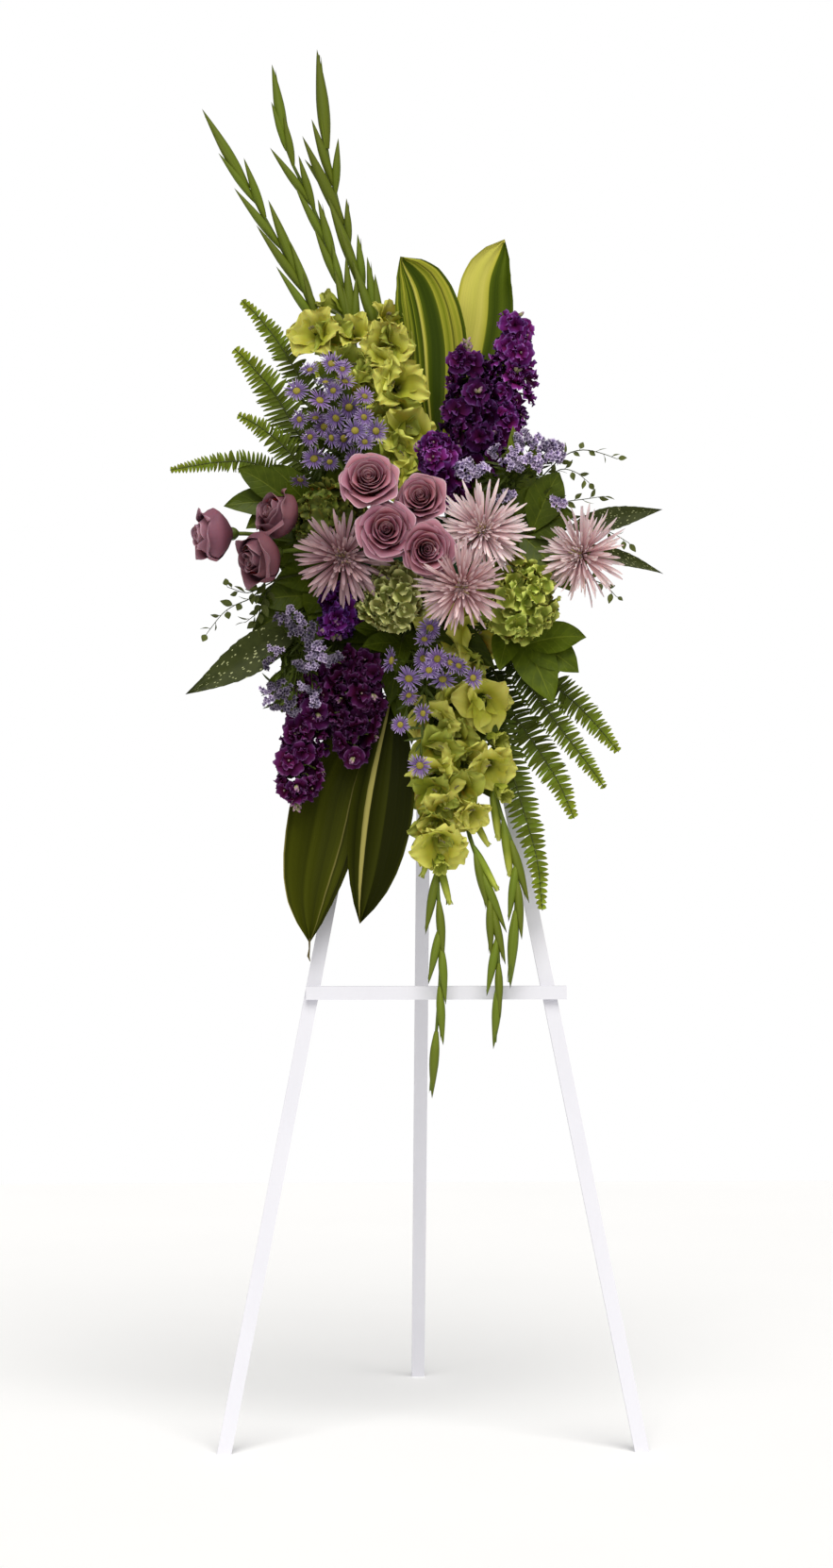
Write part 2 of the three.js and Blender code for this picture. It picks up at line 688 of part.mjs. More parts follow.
// Eucalyptus: slender twigs with small leaves in pairs.
function eucalyptus({ stem, twigs, halfWidth, length }) {
  const root = v3(stem);
  const first = v3(twigs[0][0]);
  const main = [...bloomStem(root, first.clone().sub(root).normalize()), first];
  const parts = [];
  twigs.forEach((twig, k) => {
    const curve = curveOf(twig);
    const steps = twig.length;
    const line = Array.from({ length: steps }, (_, i) => curve.getPoint(i / (steps - 1)));
    parts.push(tube([mix(root, first, 0.6), ...line], 1, 3));
    for (let i = 1; i <= steps; i++) {
      const t = i / steps;
      const along = curve.getTangent(t);
      const side = new THREE.Vector3().crossVectors(along, new THREE.Vector3(0, -1, 0.2)).normalize();
      const lean = i === steps ? 0 : (i % 2 ? 1 : -1) * (0.9 + 0.4 * vary(i, k));
      const direction = along.clone().addScaledVector(side, lean).normalize();
      const foot = curve.getPoint(t).addScaledVector(direction, -1.5);
      const tip = foot.clone().addScaledVector(direction, length * (0.8 + 0.35 * vary(i, k + 3)));
      const blade = { profile: [0, 1, 0], sag: 0, thickness: 2 };
      parts.push(leaf(foot, tip, halfWidth, new THREE.Vector3(0, -1, 0.3), blade));
    }
  });
  return { body: join(parts), room: parts.map((s) => hull(pointsOf(s), 0.6)), stem: stemOf(main, 2) };
}

// The arrangement. Places are in the easel's own frame. Its origin is on the floor, midway between the
// front feet.

const ROSES = {
  rose_top: { at: [-93, -15, 1376], facing: [-0.15, -0.85, 0.45], radius: 43 },
  rose_upper_right: { at: [-18, -5, 1356], facing: [0.25, -0.88, 0.4], radius: 37 },
  rose_centre: { at: [-71, -30, 1306], facing: [-0.05, -0.98, 0.12], radius: 43 },
  rose_lower_right: { at: [-9, -35, 1275], facing: [0.2, -0.96, 0.02], radius: 41 },
  rose_far_left: { at: [-324, 60, 1303], facing: [-0.9, -0.35, -0.05], radius: 44, open: 0.35 },
  rose_left_upper: { at: [-232, 48, 1334], facing: [-0.62, -0.65, 0.42], radius: 44, open: 0.45 },
  rose_left_lower: { at: [-256, 28, 1264], facing: [-0.72, -0.66, -0.16], radius: 43, open: 0.5 },
};

const MUMS = {
  mum_left: { at: [-137, -2, 1265], facing: [0.04, -0.99, -0.05], radius: 64 },
  mum_upper_right: { at: [71, -2, 1308], facing: [0.08, -0.97, 0.14], radius: 68 },
  mum_lower: { at: [38, -40, 1222], facing: [-0.04, -0.98, -0.16], radius: 62 },
  mum_right: { at: [212, 26, 1272], facing: [0.42, -0.9, 0.02], radius: 66 },
};

const HYDRANGEAS = {
  hydrangea_left: { at: [-152, 48, 1334], facing: [-0.3, -0.9, 0.3], radius: 46 },
  hydrangea_centre: { at: [-55, 22, 1207], facing: [0, -0.97, -0.2], radius: 43 },
  hydrangea_right: { at: [128, 22, 1203], facing: [0.25, -0.92, -0.2], radius: 50 },
};

const GLADIOLI = {
  gladiolus_up_left: {
    path: [
      [-46, 160, 1306], [-60, 166, 1352], [-96, 175, 1428], [-141, 180, 1539],
      [-179, 190, 1644], [-234, 195, 1741], [-282, 200, 1832], [-325, 200, 1922],
    ],
    buds: { count: 7, reach: 3.2 },
    blooms: [[3.9, [-0.15, -0.6, 0.7], 24], [3.45, [-0.4, -0.85, 0.3], 40], [3.15, [0.35, -0.85, 0.3], 34]],
  },
  gladiolus_up_middle: {
    path: [
      [-31, 166, 1306], [-42, 172, 1352], [-66, 180, 1430], [-89, 186, 1512], [-119, 196, 1630],
      [-141, 205, 1722], [-165, 210, 1798], [-199, 215, 1889], [-226, 215, 1992],
    ],
    buds: { count: 7, reach: 3.4 },
    blooms: [
      [4.1, [0.25, -0.8, 0.55], 26], [3.7, [0.05, -0.9, 0.4], 32], [3.1, [-0.2, -0.95, 0.1], 38],
      [2.6, [0.3, -0.9, -0.1], 34],
    ],
  },
  gladiolus_up_right: {
    path: [
      [-12, 160, 1306], [-22, 168, 1360], [-41, 182, 1484], [-72, 195, 1610], [-94, 205, 1687],
      [-113, 215, 1771], [-133, 222, 1856], [-152, 225, 1940], [-162, 225, 2015],
    ],
    buds: { count: 8, reach: 3.8 },
    blooms: [
      [3.4, [0.8, -0.3, 0.4], 26], [3.0, [-0.15, -0.9, 0.35], 38], [2.5, [0.1, -0.97, 0.05], 40],
      [1.95, [0.15, -0.95, -0.2], 40],
    ],
  },
  gladiolus_down_left: {
    path: [
      [-8, 150, 1218], [-4, 134, 1150], [12, 106, 1001], [9, 88, 879], [9, 76, 799],
      [14, 70, 718], [7, 65, 610], [-1, 60, 504],
    ],
    buds: { count: 7, reach: 2.6 },
    blooms: [
      [1.55, [-0.1, -0.95, 0.1], 38], [2.05, [-0.25, -0.95, -0.2], 42], [2.55, [0.15, -0.9, -0.4], 42],
      [3.0, [0.25, -0.85, -0.5], 38],
    ],
  },
  gladiolus_down_middle: {
    path: [
      [16, 150, 1218], [22, 134, 1150], [38, 108, 1001], [48, 88, 893], [60, 77, 826],
      [76, 70, 751], [87, 65, 664], [89, 60, 576],
    ],
    buds: { count: 7, reach: 2.6 },
    blooms: [
      [1.0, [-0.1, -0.95, 0.2], 38], [1.6, [0.2, -0.95, 0], 40], [2.2, [0.3, -0.9, -0.25], 38],
      [2.75, [0.35, -0.85, -0.4], 32],
    ],
  },
  gladiolus_down_right: {
    path: [
      [38, 148, 1222], [52, 132, 1150], [79, 100, 988], [99, 83, 907], [112, 72, 826],
      [121, 65, 738], [111, 60, 659],
    ],
    buds: { count: 7, reach: 2.3 },
    blooms: [[1, [0.36, -0.92, 0.16], 44], [1.5, [0.3, -0.93, -0.15], 42], [2.05, [0.2, -0.9, -0.45], 34]],
  },
};

const STOCKS = {
  stock_up_right: {
    path: [
      [40, 162, 1308], [72, 156, 1372], [104, 154, 1440], [119, 156, 1530], [128, 156, 1610],
    ],
    from: 1.6,
    radius: 36,
  },
  stock_up_left: {
    path: [
      [14, 152, 1308], [38, 138, 1360], [59, 126, 1424], [54, 121, 1500], [43, 118, 1568],
    ],
    from: 1.5,
    radius: 36,
  },
  stock_short: {
    path: [
      [-2, 154, 1296], [8, 108, 1338], [16, 82, 1378], [6, 76, 1412], [-8, 72, 1440],
    ],
    from: 1.5,
    radius: 27,
  },
  stock_low_front: {
    path: [
      [-48, 150, 1232], [-84, 112, 1222], [-112, 84, 1212], [-130, 72, 1190], [-140, 66, 1158],
    ],
    from: 1.8,
    radius: 27,
  },
  stock_low_middle: {
    path: [
      [-58, 150, 1212], [-80, 118, 1150], [-96, 82, 1110], [-104, 70, 1050], [-108, 62, 990],
    ],
    from: 1.7,
    radius: 36,
  },
  stock_low_left: {
    path: [
      [-86, 150, 1216], [-130, 120, 1150], [-164, 92, 1078], [-180, 76, 1000], [-190, 66, 912],
    ],
    from: 1.6,
    radius: 32,
  },
};

const SPRAYS = {
  asters_upper: {
    stem: [-84, 128, 1382],
    fork: [-132, 108, 1446],
    head: ASTER,
    heads: [
      [-174, 78, 1539], [-146, 66, 1514], [-193, 84, 1509], [-162, 62, 1491], [-137, 54, 1466],
      [-189, 74, 1468], [-146, 62, 1436], [-112, 58, 1452], [-94, 52, 1430], [-72, 70, 1452],
      [-174, 66, 1438], [-120, 84, 1424], [-146, 56, 1404], [-188, 64, 1381], [-113, 74, 1510],
    ],
  },
  asters_lower: {
    stem: [-4, 96, 1160],
    fork: [-12, 68, 1104],
    head: ASTER,
    heads: [
      [-58, 26, 1122], [-12, 22, 1152], [-34, 28, 1096], [-6, 10, 1108], [24, 6, 1118], [56, 2, 1097],
      [-46, 30, 1031], [-14, 18, 1047], [-18, 36, 973],
    ],
  },
  statice_right: {
    stem: [104, 104, 1346],
    fork: [120, 92, 1380],
    head: STATICE,
    heads: [
      [54, 66, 1400], [91, 72, 1424], [117, 68, 1416], [138, 66, 1407], [160, 72, 1413], [143, 84, 1440],
      [174, 80, 1431], [104, 66, 1368],
    ],
  },
  statice_left: {
    stem: [-160, 112, 1176],
    fork: [-190, 92, 1136],
    head: STATICE,
    heads: [
      [-206, 58, 1194], [-188, 56, 1166], [-168, 52, 1150], [-226, 58, 1128], [-240, 56, 1112],
      [-182, 56, 1112], [-146, 40, 1124], [-222, 60, 1088], [-200, 46, 1066],
    ],
  },
};

const STRAP_LEAVES = {
  leaf_up_left: {
    path: [
      [-2, 184, 1306], [2, 190, 1370], [10, 192, 1440], [8, 192, 1520], [4, 188, 1600], [-8, 182, 1668],
      [-36, 172, 1712],
    ],
    from: 1.4,
    halfWidth: 50,
  },
  leaf_up_right: {
    path: [
      [22, 176, 1306], [40, 200, 1380], [52, 216, 1450], [64, 222, 1530], [84, 222, 1624], [100, 220, 1690],
      [113, 218, 1745],
    ],
    from: 1.4,
    halfWidth: 43,
  },
  leaf_down_left: {
    path: [
      [-62, 166, 1216], [-70, 150, 1150], [-90, 126, 1040], [-128, 108, 950], [-156, 94, 866],
      [-171, 82, 780], [-175, 76, 706],
    ],
    from: 1.2,
    halfWidth: 56,
  },
  leaf_down_right: {
    path: [
      [-32, 164, 1216], [-40, 140, 1150], [-56, 106, 1030], [-66, 88, 950], [-78, 78, 879], [-92, 72, 810],
      [-103, 68, 748],
    ],
    from: 1.2,
    halfWidth: 46,
  },
};

const FERNS = {
  fern_left_1: {
    path: [
      [-92, 162, 1298], [-124, 168, 1390], [-165, 176, 1484], [-213, 182, 1570], [-248, 184, 1618],
      [-275, 184, 1648],
    ],
    from: 1.5,
    halfWidth: 27,
  },
  fern_left_2: {
    path: [
      [-100, 160, 1288], [-138, 158, 1356], [-178, 156, 1422], [-227, 158, 1505], [-258, 157, 1545],
      [-283, 154, 1576],
    ],
    from: 1.4,
    halfWidth: 38,
  },
  fern_left_3: {
    path: [
      [-104, 152, 1276], [-134, 142, 1324], [-164, 136, 1376], [-214, 134, 1430], [-250, 132, 1460],
      [-278, 128, 1477],
    ],
    from: 1.4,
    halfWidth: 27,
  },
  fern_left_4: {
    path: [
      [-106, 162, 1250], [-154, 148, 1312], [-202, 134, 1372], [-250, 112, 1408], [-304, 108, 1412],
      [-372, 102, 1404],
    ],
    from: 1.3,
    halfWidth: 22,
  },
  fern_right_1: {
    path: [
      [72, 156, 1240], [112, 140, 1160], [150, 130, 1108], [204, 124, 1064], [240, 118, 1026],
      [270, 112, 992],
    ],
    from: 1.2,
    halfWidth: 27,
  },
  fern_right_2: {
    path: [
      [66, 148, 1224], [104, 118, 1136], [140, 106, 1086], [192, 98, 1014], [222, 92, 974], [249, 86, 940],
    ],
    from: 1.2,
    halfWidth: 24,
  },
  fern_right_3: {
    path: [
      [56, 158, 1212], [84, 144, 1130], [108, 136, 1064], [152, 124, 995], [182, 112, 945], [205, 102, 898],
    ],
    from: 1.2,
    halfWidth: 31,
  },
  fern_right_4: {
    path: [
      [64, 150, 1204], [76, 128, 1110], [100, 112, 1008], [124, 102, 921], [146, 92, 840], [157, 84, 768],
    ],
    from: 1.1,
    halfWidth: 27,
  },
};

const LEAFY_STEMS = {
  salal_left: {
    path: [[-108, 142, 1300], [-160, 112, 1332], [-206, 96, 1350]],
    leaves: [
      [1.9, [-278, 84, 1398], 20], [1.7, [-298, 86, 1344], 20], [1.75, [-266, 90, 1312], 17],
      [1.1, [-232, 96, 1404], 20],
    ],
  },
  salal_right: {
    path: [[88, 146, 1296], [118, 112, 1302], [146, 92, 1310]],
    leaves: [
      [2, [184, 80, 1394], 26], [1.6, [206, 84, 1334], 26], [1.4, [202, 76, 1222], 30],
      [1.3, [118, 96, 1462], 14],
    ],
  },
  salal_lower_right: {
    path: [[86, 148, 1229], [114, 118, 1186], [136, 98, 1146]],
    leaves: [
      [2, [222, 66, 1156], 24], [1.7, [212, 78, 1106], 26], [1.4, [172, 66, 1058], 27],
      [1.2, [96, 56, 1108], 20],
    ],
  },
  salal_centre: {
    path: [[-24, 142, 1204], [-34, 110, 1172], [-44, 88, 1146]],
    leaves: [
      [2, [-100, 48, 1142], 14], [1.8, [-112, 60, 1170], 15], [1.7, [-52, 46, 1104], 15],
      [1.5, [14, 48, 1128], 15],
    ],
  },
};

const SPOTTED_LEAVES = {
  spotted_left: {
    path: [[-108, 148, 1240], [-158, 112, 1206], [-196, 90, 1180]],
    leaves: [[2, [-352, 58, 1074], 28]],
  },
  spotted_right: {
    path: [[94, 150, 1282], [150, 118, 1296], [206, 96, 1306]],
    leaves: [[2, [333, 84, 1342], 18], [1.8, [334, 88, 1248], 15]],
  },
};

const EUCALYPTUS = {
  eucalyptus_right: {
    stem: [140, 122, 1346],
    halfWidth: 5,
    length: 19,
    twigs: [
      [[160, 100, 1388], [210, 84, 1422], [234, 80, 1424], [264, 78, 1413]],
      [[158, 104, 1376], [193, 92, 1394], [218, 88, 1394], [236, 86, 1378]],
      [[164, 110, 1352], [218, 96, 1354], [252, 92, 1360]],
    ],
  },
  eucalyptus_left: {
    stem: [-196, 104, 1246],
    halfWidth: 6,
    length: 20,
    twigs: [
      [[-244, 84, 1240], [-270, 76, 1222], [-300, 72, 1188], [-324, 70, 1164]],
      [[-240, 88, 1226], [-262, 80, 1206], [-270, 76, 1180]],
    ],
  },
};

// Materials

const finish = (color, roughness) => new THREE.MeshStandardMaterial({ color, roughness, metalness: 0 });
const PAINTED_WOOD = finish(0xeeedf2, 0.5);
const STEEL = new THREE.MeshStandardMaterial({ color: 0xb8babd, roughness: 0.35, metalness: 0.9 });
const FOAM_GREEN = finish(0x2f5a34, 0.95);
const TRAY_GREEN = finish(0x2b4a2c, 0.45);
const ROSE_PINK = finish(0xa8647f, 0.6);
const MUM_PINK = finish(0xd6a5ad, 0.6);
const HYDRANGEA_GREEN = finish(0x9bad3d, 0.6);
const GLADIOLUS_LIME = finish(0xb9bb3a, 0.55);
const STOCK_PURPLE = finish(0x4d1468, 0.6);
const ASTER_LAVENDER = finish(0x8b7fc4, 0.6);
const STATICE_LAVENDER = finish(0x9f97cd, 0.7);
const STRAP_GREEN = finish(0x4a5d1c, 0.45);
const FERN_GREEN = finish(0x4f6a22, 0.6);
const SALAL_GREEN = finish(0x3d5a20, 0.4);
const SPOTTED_GREEN = finish(0x3a4a26, 0.4);
const EUCALYPTUS_GREEN = finish(0x55682f, 0.6);

// The blooms come first, so foliage gives way to them.
const KINDS = [
  [ROSES, rose, ROSE_PINK],
  [MUMS, mum, MUM_PINK],
  [HYDRANGEAS, hydrangea, HYDRANGEA_GREEN],
  [GLADIOLI, gladiolus, GLADIOLUS_LIME],
  [STOCKS, stock, STOCK_PURPLE],
  [SPRAYS, spray, null],
  [STRAP_LEAVES, strapLeaf, STRAP_GREEN],
  [SPOTTED_LEAVES, leafyStem, SPOTTED_GREEN],
  [EUCALYPTUS, eucalyptus, EUCALYPTUS_GREEN],
  [LEAFY_STEMS, leafyStem, SALAL_GREEN],
  [FERNS, fern, FERN_GREEN],
];

const plants = KINDS.flatMap(([table, make, material]) =>
  Object.entries(table).map(([name, values]) => ({
    name,
    material: material ?? (name.startsWith("asters") ? ASTER_LAVENDER : STATICE_LAVENDER),
    ...make(values),
  })),
);

const apart = (a, b) => {
  const [p, q] = [a.boundingBox(), b.boundingBox()];
  return [0, 1, 2].some((k) => p.min[k] > q.max[k] || q.min[k] > p.max[k]);
};
const cutBy = (solid, tools) => tools.filter((t) => !apart(solid, t)).reduce((s, t) => s.subtract(t), solid);
// The piece of a cut solid that holds the most of its stem: loose scraps are dropped.
function rooted(solid, stem) {
  const held = (piece) => (piece.volume() > 0 ? piece.intersect(stem).volume() : 0);
  return solid.decompose().reduce((best, piece) => (held(piece) > held(best) ? piece : best));
}

// Each body is cut clear of the blooms before it and of every other stem, then joined to its own stem.
const tray = foamTray();
const trayRoom = foamBox(TRAY.clearance + TRAY.wall + SEAT_GAP, FOAM_FRONT - 1, FOAM_BACK + 3);
const solids = plants.map((plant, i) => {
  const rooms = plants.slice(0, i).flatMap((p) => p.room);
  const otherStems = plants.filter((p) => p !== plant).map((p) => p.stem.clear);
  const body = cutBy(plant.body, [...rooms, ...otherStems, trayRoom]);
  return rooted(join([body, plant.stem.solid]).simplify(FACET_TOLERANCE), plant.stem.solid);
});

const holes = plants.map((p) => p.stem.clear);
const nodes = [
  ["leg_left", stick([-FEET_HALF_STANCE, 0, 0], [-TOP_HALF_STANCE, EASEL_LEAN, EASEL_HEIGHT]), PAINTED_WOOD],
  ["leg_right", stick([FEET_HALF_STANCE, 0, 0], [TOP_HALF_STANCE, EASEL_LEAN, EASEL_HEIGHT]), PAINTED_WOOD],
  ["leg_rear", rearLeg(), PAINTED_WOOD],
  [
    "crossbar",
    leaning(
      CROSSBAR.x - CROSSBAR.halfLength,
      CROSSBAR.x + CROSSBAR.halfLength,
      -STICK_DEPTH / 2 - SEAT_GAP - CROSSBAR.depth,
      -STICK_DEPTH / 2 - SEAT_GAP,
      CROSSBAR.z - CROSSBAR.height / 2,
      CROSSBAR.z + CROSSBAR.height / 2,
    ),
    PAINTED_WOOD,
  ],
  [
    "head_board",
    leaning(
      -HEAD_BOARD.halfWidth,
      HEAD_BOARD.halfWidth,
      STICK_DEPTH / 2 + SEAT_GAP,
      STICK_DEPTH / 2 + SEAT_GAP + HEAD_BOARD.depth,
      HEAD_BOARD.bottom,
      HEAD_BOARD.top,
    ),
    PAINTED_WOOD,
  ],
  ["hinge_bracket", hingeBracket(), STEEL],
  ["tie_wire", tieWire(), STEEL],
  ["foam_tray", tray, TRAY_GREEN],
  ["foam_block", cutBy(foamBox(), holes), FOAM_GREEN],
  ...plants.map((plant, i) => [plant.name, solids[i], plant.material]),
];

function toMesh([name, solid, material]) {
  const { vertProperties, triVerts } = solid.getMesh();
  const geometry = new THREE.BufferGeometry();
  geometry.setAttribute("position", new THREE.Float32BufferAttribute(vertProperties, 3));
  geometry.setIndex(new THREE.BufferAttribute(triVerts, 1));
  geometry.computeVertexNormals();
  const mesh = new THREE.Mesh(geometry, material);
  mesh.name = name;
  return mesh;
}

const standingSpray = new THREE.Group();
nodes.forEach((node) => standingSpray.add(toMesh(node)));

// The part's origin is the middle of its footprint, on the floor.
const bounds = new THREE.Box3().setFromObject(standingSpray);
const middle = bounds.getCenter(new THREE.Vector3());
standingSpray.position.set(-middle.x, -middle.y, -bounds.min.z);

export default standingSpray;
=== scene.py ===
"""A standing funeral spray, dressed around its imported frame.

Plants are laid out in millimetres in the easel's own frame: x to the right, -y to the front, z up, from the
floor midway between the front feet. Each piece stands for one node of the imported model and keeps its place.
"""
import math

import bpy
import numpy as np
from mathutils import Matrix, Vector


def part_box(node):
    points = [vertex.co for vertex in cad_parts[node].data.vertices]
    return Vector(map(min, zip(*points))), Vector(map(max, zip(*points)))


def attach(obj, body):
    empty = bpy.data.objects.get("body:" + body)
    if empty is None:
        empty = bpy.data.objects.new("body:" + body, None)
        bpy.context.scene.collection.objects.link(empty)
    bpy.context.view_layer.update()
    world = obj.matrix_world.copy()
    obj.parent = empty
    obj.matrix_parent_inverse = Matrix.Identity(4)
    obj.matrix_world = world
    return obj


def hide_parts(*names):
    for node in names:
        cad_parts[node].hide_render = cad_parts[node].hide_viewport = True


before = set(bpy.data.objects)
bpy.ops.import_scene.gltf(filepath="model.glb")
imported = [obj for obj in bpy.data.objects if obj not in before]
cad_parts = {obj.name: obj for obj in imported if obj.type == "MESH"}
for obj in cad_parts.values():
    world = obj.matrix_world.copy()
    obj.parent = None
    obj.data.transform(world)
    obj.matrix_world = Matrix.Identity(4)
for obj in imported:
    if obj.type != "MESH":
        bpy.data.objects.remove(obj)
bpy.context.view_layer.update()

# Places

MM = 0.001
STICK_DEPTH = 12.2
FOOT_LEFT, FOOT_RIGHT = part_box("leg_left"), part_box("leg_right")
EASEL = np.array([(FOOT_LEFT[0].x + FOOT_RIGHT[1].x) / 2, FOOT_LEFT[0].y + STICK_DEPTH / 2 * MM, 0])

LEAN = 260 / 1470
FOAM_HEIGHT, FOAM_FORWARD = 1262, 49.4
FOAM_CENTRE = np.array([-14, FOAM_HEIGHT * LEAN - FOAM_FORWARD, FOAM_HEIGHT])
FOAM_HALF = np.array([115, 40, 72])
STEM_IN_FOAM = 20
GOLDEN_ANGLE = math.pi * (3 - math.sqrt(5))

# Vectors


def vec(*p):
    return np.array(p, float)


def unit(v):
    return v / np.linalg.norm(v, axis=-1, keepdims=True)


def turned(a, b, angle):
    """The direction at an angle from a towards b."""
    return math.cos(angle) * a + math.sin(angle) * b


def circle(a, b, angles):
    return np.cos(angles)[..., None] * a + np.sin(angles)[..., None] * b


def smooth(x, low, high):
    t = np.clip((x - low) / (high - low), 0, 1)
    return t * t * (3 - 2 * t)


def stations(values, t):
    """Values at equal steps from 0 to 1, read at t."""
    return np.interp(t, np.linspace(0, 1, len(values)), values)


class Axes:
    """Right, up and forward for a direction, with up as near to +Z as it can be."""

    def __init__(self, direction):
        self.d = unit(np.asarray(direction, float))
        helper = vec(0, 0, 1) if abs(self.d[2]) < 0.95 else vec(0, -1, 0)
        self.right = unit(np.cross(helper, self.d))
        self.up = np.cross(self.d, self.right)

    def out(self, angle):
        return turned(self.right, self.up, angle)


class Line:
    """A smooth curve through points, read at stations 0, 1, 2 and so on, one for each point."""

    def __init__(self, points):
        p = np.asarray(points, float)
        self.last = len(p) - 1
        self.p = np.vstack([2 * p[0] - p[1], p, 2 * p[-1] - p[-2]])

    def at(self, station):
        s = np.clip(np.asarray(station, float), 0, self.last)
        i = np.minimum(s.astype(int), self.last - 1)
        t = (s - i)[..., None]
        a, b, c, d = (self.p[i + k] for k in range(4))
        return 0.5 * (
            2 * b + (c - a) * t + (2 * a - 5 * b + 4 * c - d) * t**2 + (3 * b - a - 3 * c + d) * t**3)

    def steps(self, count, start=0):
        """Points from a station to the end."""
        return self.at(np.linspace(start, self.last, count))

    def even(self, start, count):
        """Stations at equal distances from start to the end, and the length between them in all."""
        s = np.linspace(start, self.last, 200)
        run = np.concatenate([[0], np.cumsum(np.linalg.norm(np.diff(self.at(s), axis=0), axis=1))])
        return np.interp((np.arange(count) + 0.3) / count * run[-1], run, s), run[-1]

    def along(self, station):
        return unit(self.at(np.asarray(station) + 0.02) - self.at(np.asarray(station) - 0.02))


# Sheets and tubes of points


def ribbon(mid, half, face, cols=6, cup=0.0, fold=0.0, ruffle=0.0, waves=2.5, phase=0.0, tip=0.0):
    """A sheet about a midline. Cup curls it across, fold creases it at the midrib, ruffle waves its rim, and
    tip rounds its end."""
    tangent = unit(np.gradient(mid, axis=0))
    across = unit(np.cross(tangent, np.broadcast_to(face, mid.shape)))
    out = np.cross(across, tangent)
    t = np.linspace(0, 1, len(mid))[:, None]
    u = np.linspace(-1, 1, cols + 1)[None, :]
    w = half[:, None]
    c = np.broadcast_to(np.asarray(cup, float), (len(mid),))[:, None]
    c = np.where(np.abs(c) < 1e-3, 1e-3, c)
    side = w * np.sin(c * u) / c
    lift = w * (1 - np.cos(c * u)) / c + fold * w * np.abs(u)
    ripple = np.sin(2 * math.pi * waves * t + phase + 2.1 * (u > 0))
    lift = lift + ruffle * u**2 * smooth(t, 0.2, 0.8) * ripple
    lift = lift + ruffle * t**4 * np.sin(math.pi * waves * u + 1.7 * phase)
    on = tip * t**5 * (1 - u**2)
    grid = mid[:, None] + across[:, None] * side[..., None] + out[:, None] * lift[..., None]
    return grid + tangent[:, None] * on[..., None]


def petal(base, along, normal, length, half, outline, bend=(0, 0), rows=6, **shape):
    """A sheet that starts at base. Bend is how far its midline turns towards its normal, in radians."""
    along = unit(along)
    normal = unit(normal - along * np.dot(normal, along))
    t = np.linspace(0, 1, rows + 1)
    angle = stations(bend, t)
    middle = (angle[1:] + angle[:-1]) / 2
    a = np.concatenate([[0], np.cumsum(np.cos(middle))]) * length / rows
    b = np.concatenate([[0], np.cumsum(np.sin(middle))]) * length / rows
    mid = base + a[:, None] * along + b[:, None] * normal
    face = normal * np.cos(angle)[:, None] - along * np.sin(angle)[:, None]
    return ribbon(mid, half * stations(outline, t), face, **shape)


def tube(points, radii, sides=8):
    points = np.asarray(points, float)
    tangent = unit(np.gradient(points, axis=0))
    right = Axes(tangent[0]).right
    angles = np.arange(sides) * 2 * math.pi / sides
    rings = []
    for p, d, r in zip(points, tangent, np.broadcast_to(radii, (len(points),))):
        right = unit(right - d * np.dot(right, d))
        rings.append(p + r * circle(right, np.cross(d, right), angles))
    return np.array(rings)


def spindle(base, direction, length, radius, profile, rows=7, sides=7, bend=0.0):
    """A closed bud or pod: profile gives its radius along its length, and bend curves it to its right."""
    axes = Axes(direction)
    t = np.linspace(0, 1, rows + 1)
    mid = base + np.outer(t * length, axes.d) + np.outer(bend * length * t**2, axes.right)
    return tube(mid, radius * stations(profile, t), sides)


class Piece:
    """Sheets and tubes as one mesh. Each point carries along, across and tint for its material."""

    def __init__(self, name):
        self.rng = np.random.default_rng(sum(ord(c) * (i + 1) for i, c in enumerate(name)))
        self.name = name
        self.points, self.looks, self.faces, self.slots = [], [], [], []
        self.materials = []
        self.size = 0

    def add(self, grid, material, tint=None, closed=False, pointed=False, along=(0, 1)):
        rows, cols = grid.shape[:2]
        look = np.empty((rows, cols, 3))
        look[..., 0] = np.linspace(*along, rows)[:, None]
        look[..., 1] = np.linspace(-1, 1, cols)[None, :]
        look[..., 2] = self.rng.random() if tint is None else tint
        index = self.size + np.arange(rows * cols).reshape(rows, cols)
        points, look = grid.reshape(-1, 3), look.reshape(-1, 3)
        if pointed:
            end = (rows - 1) * cols
            points = np.vstack([points[:end], points[end:].mean(0)])
            look = look[: end + 1]
            index[-1] = self.size + end
        if closed:
            index = np.hstack([index, index[:, :1]])
        quads = np.stack([index[:-1, :-1], index[:-1, 1:], index[1:, 1:], index[1:, :-1]], -1)
        faces = quads.reshape(-1, 4).tolist()
        if pointed:
            faces = quads[:-1].reshape(-1, 4).tolist() + quads[-1, :, :3].tolist()
        if material not in self.materials:
            self.materials.append(material)
        self.points.append(points)
        self.looks.append(look)
        self.faces += faces
        self.slots += [self.materials.index(material)] * len(faces)
        self.size += len(points)

    def rod(self, material, *shape):
        self.add(tube(*shape), material, closed=True)

    def pod(self, material, *shape, **settings):
        self.add(spindle(*shape), material, closed=True, **settings)

    def build(self):
        mesh = bpy.data.meshes.new(self.name)
        points = np.vstack(self.points) * MM + EASEL
        mesh.from_pydata(points.tolist(), [], self.faces)
        look = mesh.attributes.new("look", "FLOAT_VECTOR", "POINT")
        look.data.foreach_set("vector", np.vstack(self.looks).ravel())
        for material in self.materials:
            mesh.materials.append(material)
        mesh.polygons.foreach_set("material_index", self.slots)
        mesh.shade_smooth()
        piece = bpy.data.objects.new(self.name + "_dressed", mesh)
        bpy.context.scene.collection.objects.link(piece)
        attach(piece, "spray")
        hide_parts(self.name)


# Materials


